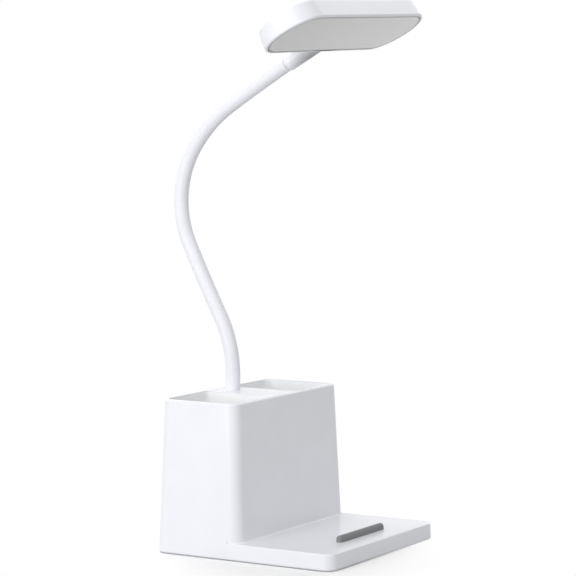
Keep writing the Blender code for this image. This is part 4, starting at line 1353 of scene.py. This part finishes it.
@dataclass
class LampHead:
    """The long flat head with its socket, on the neck's end. It is built in a frame of its own."""

    length: float = 0.166
    width: float = 0.0448
    thickness: float = 0.0127
    twist: float = math.radians(1.9)
    side_inset: float = 0.0012
    edge: float = 0.0013
    edge_steps: int = 6
    wall: float = 0.0018
    end_steps: int = 30
    socket_length: float = 0.0245
    mouth_radius: float = 0.0055
    root_radius: float = 0.0059
    lip: float = 0.0005
    lip_shares: tuple[Flat, ...] = ((0.0, 1.0), (1 / 6, 1 / 2), (1 / 2, 0.0))
    bite: float = 0.009
    tip: float = 0.006
    bore_radius: float = 0.0028
    pocket_rim: float = 0.0003
    pocket_edge: float = 0.00012
    diffuser_gap: float = 0.0012
    diffuser_thickness: float = 0.0017
    diffuser_edge: float = 0.0003
    diffuser_steps: int = 4
    diffuser_seat: float = 0.0022
    sides: int = 48

    def frame(self, neck: Neck) -> Matrix:
        """Where the head's own frame stands: on the last joint, with +X along the head.

        Args:
            neck: The neck that carries the head.

        Returns:
            The frame's place in the scene.
        """
        point, heading = neck.point(neck.joint(neck.joints))
        tilt = Matrix.Rotation(heading - QUARTER, 4, "X")
        return Matrix.Translation(point) @ tilt @ Matrix.Rotation(-self.twist, 4, "Y")

    def ahead(self, distance: float) -> float:
        """The frame's Y at a distance beyond the neck's end."""
        return -(self.tip + distance)

    def plate(self, levels: Iterable[Flat]) -> Skin:
        """A solid with the head's outline.

        Args:
            levels: How far the outline is drawn in at each height, and the height.

        Returns:
            The solid's skin.
        """
        centre = (0.0, self.ahead(self.socket_length + self.width / 2))
        rings = []
        for inset, z in levels:
            flat = round_ended(self.length - 2 * inset, self.width - 2 * inset, self.end_steps, centre)
            rings.append(at_height(flat, z))
        return Skin().tube(rings)

    def round_bar(self, profile: Iterable[Flat]) -> Skin:
        """A turned solid round the socket's middle line, from (radius, Y) pairs."""
        return Skin().tube([upright(full_turn(radius, self.sides), y, 0.0) for radius, y in profile])

    def build(self, neck: Neck) -> None:
        """Builds the shell and the diffuser.

        Args:
            neck: The neck that carries the head.
        """
        place = self.frame(neck)
        self.build_shell(place)
        self.build_diffuser(place)

    def build_shell(self, place: Matrix) -> None:
        """Builds the shell from its hollow outwards, then joins and bores the socket.

        Args:
            place: Where the head's own frame stands.
        """
        low, high = -self.thickness / 2, self.thickness / 2
        pocket = self.edge + self.pocket_rim
        step = low + self.diffuser_thickness + GAP
        edge = round_edge(self.edge, self.edge_steps)
        levels = [
            (self.side_inset + self.edge + self.wall, high - self.wall),
            (pocket + self.diffuser_seat, step),
            (pocket, step),
            (pocket, low + self.pocket_edge),
            (pocket - self.pocket_edge, low),
            *((inset, low + drop) for inset, drop in edge[::-1]),
            *((self.side_inset + inset, high - drop) for inset, drop in edge),
        ]
        shell = self.plate(levels).piece("lamp_head", place)

        mouth = self.ahead(0.0)
        root = self.ahead(self.socket_length + self.wall / 2)
        profile = [(self.root_radius, root)]
        for inward, back in self.lip_shares:
            profile.append((self.mouth_radius - self.lip * inward, mouth - self.lip * back))
        socket = self.round_bar(profile).piece("socket", place)
        stop = self.ahead(self.bite + GAP)
        sleeve_radius = self.bore_radius + OVERRUN + GAP
        bore = (
            (self.bore_radius, root - OVERRUN),
            (self.bore_radius, stop),
            (sleeve_radius, stop),
            (sleeve_radius, mouth + OVERRUN),
        )
        carve(shell, [(Cut.JOINED, socket), (Cut.AWAY, self.round_bar(bore).piece("bore", place))])
        settle(shell, HEAD_WHITE, "head", ["head_shell"])

    def build_diffuser(self, place: Matrix) -> None:
        """Builds the milky plate, flush with the head's rim.

        Args:
            place: Where the head's own frame stands.
        """
        low = -self.thickness / 2
        outer = self.edge + self.pocket_rim + self.diffuser_gap
        edge = round_edge(self.diffuser_edge, self.diffuser_steps)[::-1]
        levels = [(outer + inset, low + drop) for inset, drop in edge]
        levels.append((outer, self.diffuser_thickness - self.thickness / 2))
        plate = self.plate(levels).piece("diffuser_plate", place)
        settle(plate, DIFFUSER, "head", ["diffuser"])


@dataclass
class Inside:
    """The CAD nodes that are carried over as they are, most of them hidden in the base and the head."""

    finishes: tuple[tuple[Finish, tuple[str, ...]], ...] = (
        (STEEL, ("counterweight", "neck_fitting", "neck_washer", "neck_nut", "tip_")),
        (STEEL, ("board_screw", "lamp_screw", "battery_tab")),
        (WHITE_WIRE, ("neck_lead", "head_lead")),
        (RED_WIRE, ("battery_lead",)),
        (CELL, ("battery_cell",)),
        (GREY, ("battery_cradle",)),
        (BOARD, ("main_board", "touch_board")),
        (CHIP, ("charge_chip",)),
        (BLACK, ("port_tongue",)),
        (ALUMINIUM, ("lamp_board",)),
        (LAMP_ROW, ("led_tape",)),
    )

    def build(self) -> None:
        """Dresses each carried-over node."""
        for name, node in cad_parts.items():
            if node.hide_render:
                continue
            matching = [finish for finish, starts in self.finishes if name.startswith(starts)]
            if not matching:
                raise ValueError(f"{name} has no finish")
            node.data.materials.clear()
            node.data.materials.append(matching[0].material())
            LOG.info("%s keeps its CAD shape", name)


@dataclass(frozen=True)
class SoftBox:
    """A square lamp that faces a point."""

    name: str
    place: Point
    watts: float
    side: float = 1.1

    def build(self, target: Point) -> None:
        """Adds the lamp.

        Args:
            target: The point that it faces.
        """
        data = bpy.data.lights.new(self.name, "AREA")
        data.shape = "SQUARE"
        data.size = self.side
        data.energy = self.watts
        lamp = bpy.data.objects.new(self.name, data)
        lamp.location = self.place
        lamp.rotation_euler = (Vector(target) - Vector(self.place)).to_track_quat("-Z", "Y").to_euler()
        bpy.context.scene.collection.objects.link(lamp)


@dataclass
class Studio:
    """The pale floor, the white surroundings and the lamps."""

    floor_side: float = 12.0
    floor_tone: Colour = (0.62, 0.62, 0.62)
    shown_tone: Colour = (1.0, 1.0, 1.0)
    fade_middle: Flat = (-0.05, 0.01)
    fade_start: float = 0.07
    fade_end: float = 0.13
    shade_middle: Flat = (-0.02, 0.0)
    shade_half: Flat = (0.067, 0.0665)
    shade_reach: float = 0.05
    shade_depth: float = 0.03
    ambient: float = 0.56
    target: Point = (0.0, 0.0, 0.14)
    lamps: tuple[SoftBox, ...] = (
        SoftBox("high left box", (-1.0, 0.0, 1.87), 7.1),
        SoftBox("low left box", (-1.95, 0.41, 0.28), 17.8),
        SoftBox("front left box", (-1.57, -0.73, 1.14), 5.7),
        SoftBox("right box", (1.73, 0.0, 1.14), 3.7),
        SoftBox("rear box", (0.87, 1.5, 1.14), 11.7),
    )

    def build(self) -> None:
        """Builds the surroundings."""
        self.build_floor()
        self.build_world()
        for lamp in self.lamps:
            lamp.build(self.target)
        bpy.context.scene.view_settings.view_transform = "Standard"
        LOG.info("the studio has %d lamps", len(self.lamps))

    def seen(self, graph: Graph) -> Wire:
        """Tells rays that show the surroundings from those that light the lamp.

        Args:
            graph: The nodes of a material or world.

        Returns:
            1 for camera, glossy and transmission rays.
        """
        rays = graph.add("ShaderNodeLightPath", {}, {})
        camera, glossy, transmission = (
            Wire(graph, rays.outputs[f"Is {kind} Ray"]) for kind in ("Camera", "Glossy", "Transmission")
        )
        return graph.maths(Sum.LARGEST, graph.maths(Sum.LARGEST, camera, glossy), transmission)

    def build_floor(self) -> None:
        """A floor that shows white away from the lamp and a soft shadow near it. It is clear from below."""
        skin = Skin()
        skin.face(skin.ring(at_height(rectangle((0.0, 0.0), self.floor_side, self.floor_side), 0.0)))
        floor = skin.piece("studio_floor")
        material = bpy.data.materials.new("studio_floor")
        graph = Graph(material)
        x, y, _ = graph.parts(graph.place())
        radius = graph.length(x - self.fade_middle[0], y - self.fade_middle[1])
        fade = graph.clamped((radius - self.fade_start) / (self.fade_end - self.fade_start))
        beyond = [
            graph.maths(Sum.LARGEST, abs(part - middle) - half, 0.0)
            for part, middle, half in zip((x, y), self.shade_middle, self.shade_half)
        ]
        clear = graph.clamped(graph.length(*beyond) / self.shade_reach)
        shaded = tuple(part * (1 - self.shade_depth) for part in self.shown_tone)
        seen = self.seen(graph)
        tone = graph.mix(seen, self.floor_tone, graph.mix(clear, shaded, self.shown_tone))
        matt = graph.wire("ShaderNodeBsdfDiffuse", {}, {"Color": tone})
        white = graph.wire("ShaderNodeEmission", {}, {"Strength": 1.0})
        above = graph.wire("ShaderNodeMixShader", {}, {0: fade * seen, 1: matt, 2: white})
        nothing = graph.wire("ShaderNodeBsdfTransparent", {}, {})
        from_below = graph.wire("ShaderNodeNewGeometry", {}, {}, "Backfacing")
        shader = graph.wire("ShaderNodeMixShader", {}, {0: from_below, 1: above, 2: nothing})
        graph.add("ShaderNodeOutputMaterial", {}, {"Surface": shader})
        floor.data.materials.append(material)

    def build_world(self) -> None:
        """White to the eye and in reflections, softer as light."""
        world = bpy.data.worlds.new("studio_world")
        graph = Graph(world)
        strength = self.ambient + (1.0 - self.ambient) * self.seen(graph)
        white = graph.solid(self.shown_tone)
        glow = graph.wire("ShaderNodeBackground", {}, {"Color": white, "Strength": strength})
        graph.add("ShaderNodeOutputWorld", {}, {"Surface": glow})
        bpy.context.scene.world = world


@dataclass
class PhotoCamera:
    """The camera that took the photo, as fitted to it."""

    place: Point = (-1.3193, -0.8159, 0.2968)
    azimuth: float = math.radians(-58.09)
    elevation: float = math.radians(4.72)
    roll: float = math.radians(-0.35)
    lens: float = 150.15
    sensor: float = 36.0
    far: float = 50.0

    def build(self) -> None:
        """Adds the camera and makes it the scene's."""
        right = Vector((math.cos(self.azimuth), math.sin(self.azimuth), 0.0))
        level = Vector((-math.sin(self.azimuth), math.cos(self.azimuth), 0.0))
        look = level * math.cos(self.elevation) - Vector((0.0, 0.0, math.sin(self.elevation)))
        up = right.cross(look)
        turned_right = right * math.cos(self.roll) + up * math.sin(self.roll)
        turned_up = up * math.cos(self.roll) - right * math.sin(self.roll)
        data = bpy.data.cameras.new("photo_camera")
        data.lens = self.lens
        data.sensor_width = self.sensor
        data.clip_end = self.far
        camera = bpy.data.objects.new("photo_camera", data)
        axes = Matrix((turned_right, turned_up, -look)).transposed().to_4x4()
        camera.matrix_world = Matrix.Translation(self.place) @ axes
        bpy.context.scene.collection.objects.link(camera)
        bpy.context.scene.camera = camera


def main() -> None:
    """Builds the lamp, then its surroundings and camera."""
    logging.basicConfig(level=logging.INFO)
    base = BaseMoulding()
    stop = LedgeStop()
    neck = Neck()
    base.build(stop)
    stop.build(base)
    Underside().build(base)
    ChargingSocket().build(base)
    neck.build()
    LampHead().build(neck)
    Inside().build()
    Studio().build()
    PhotoCamera().build()


if __name__ == "__main__":
    main()
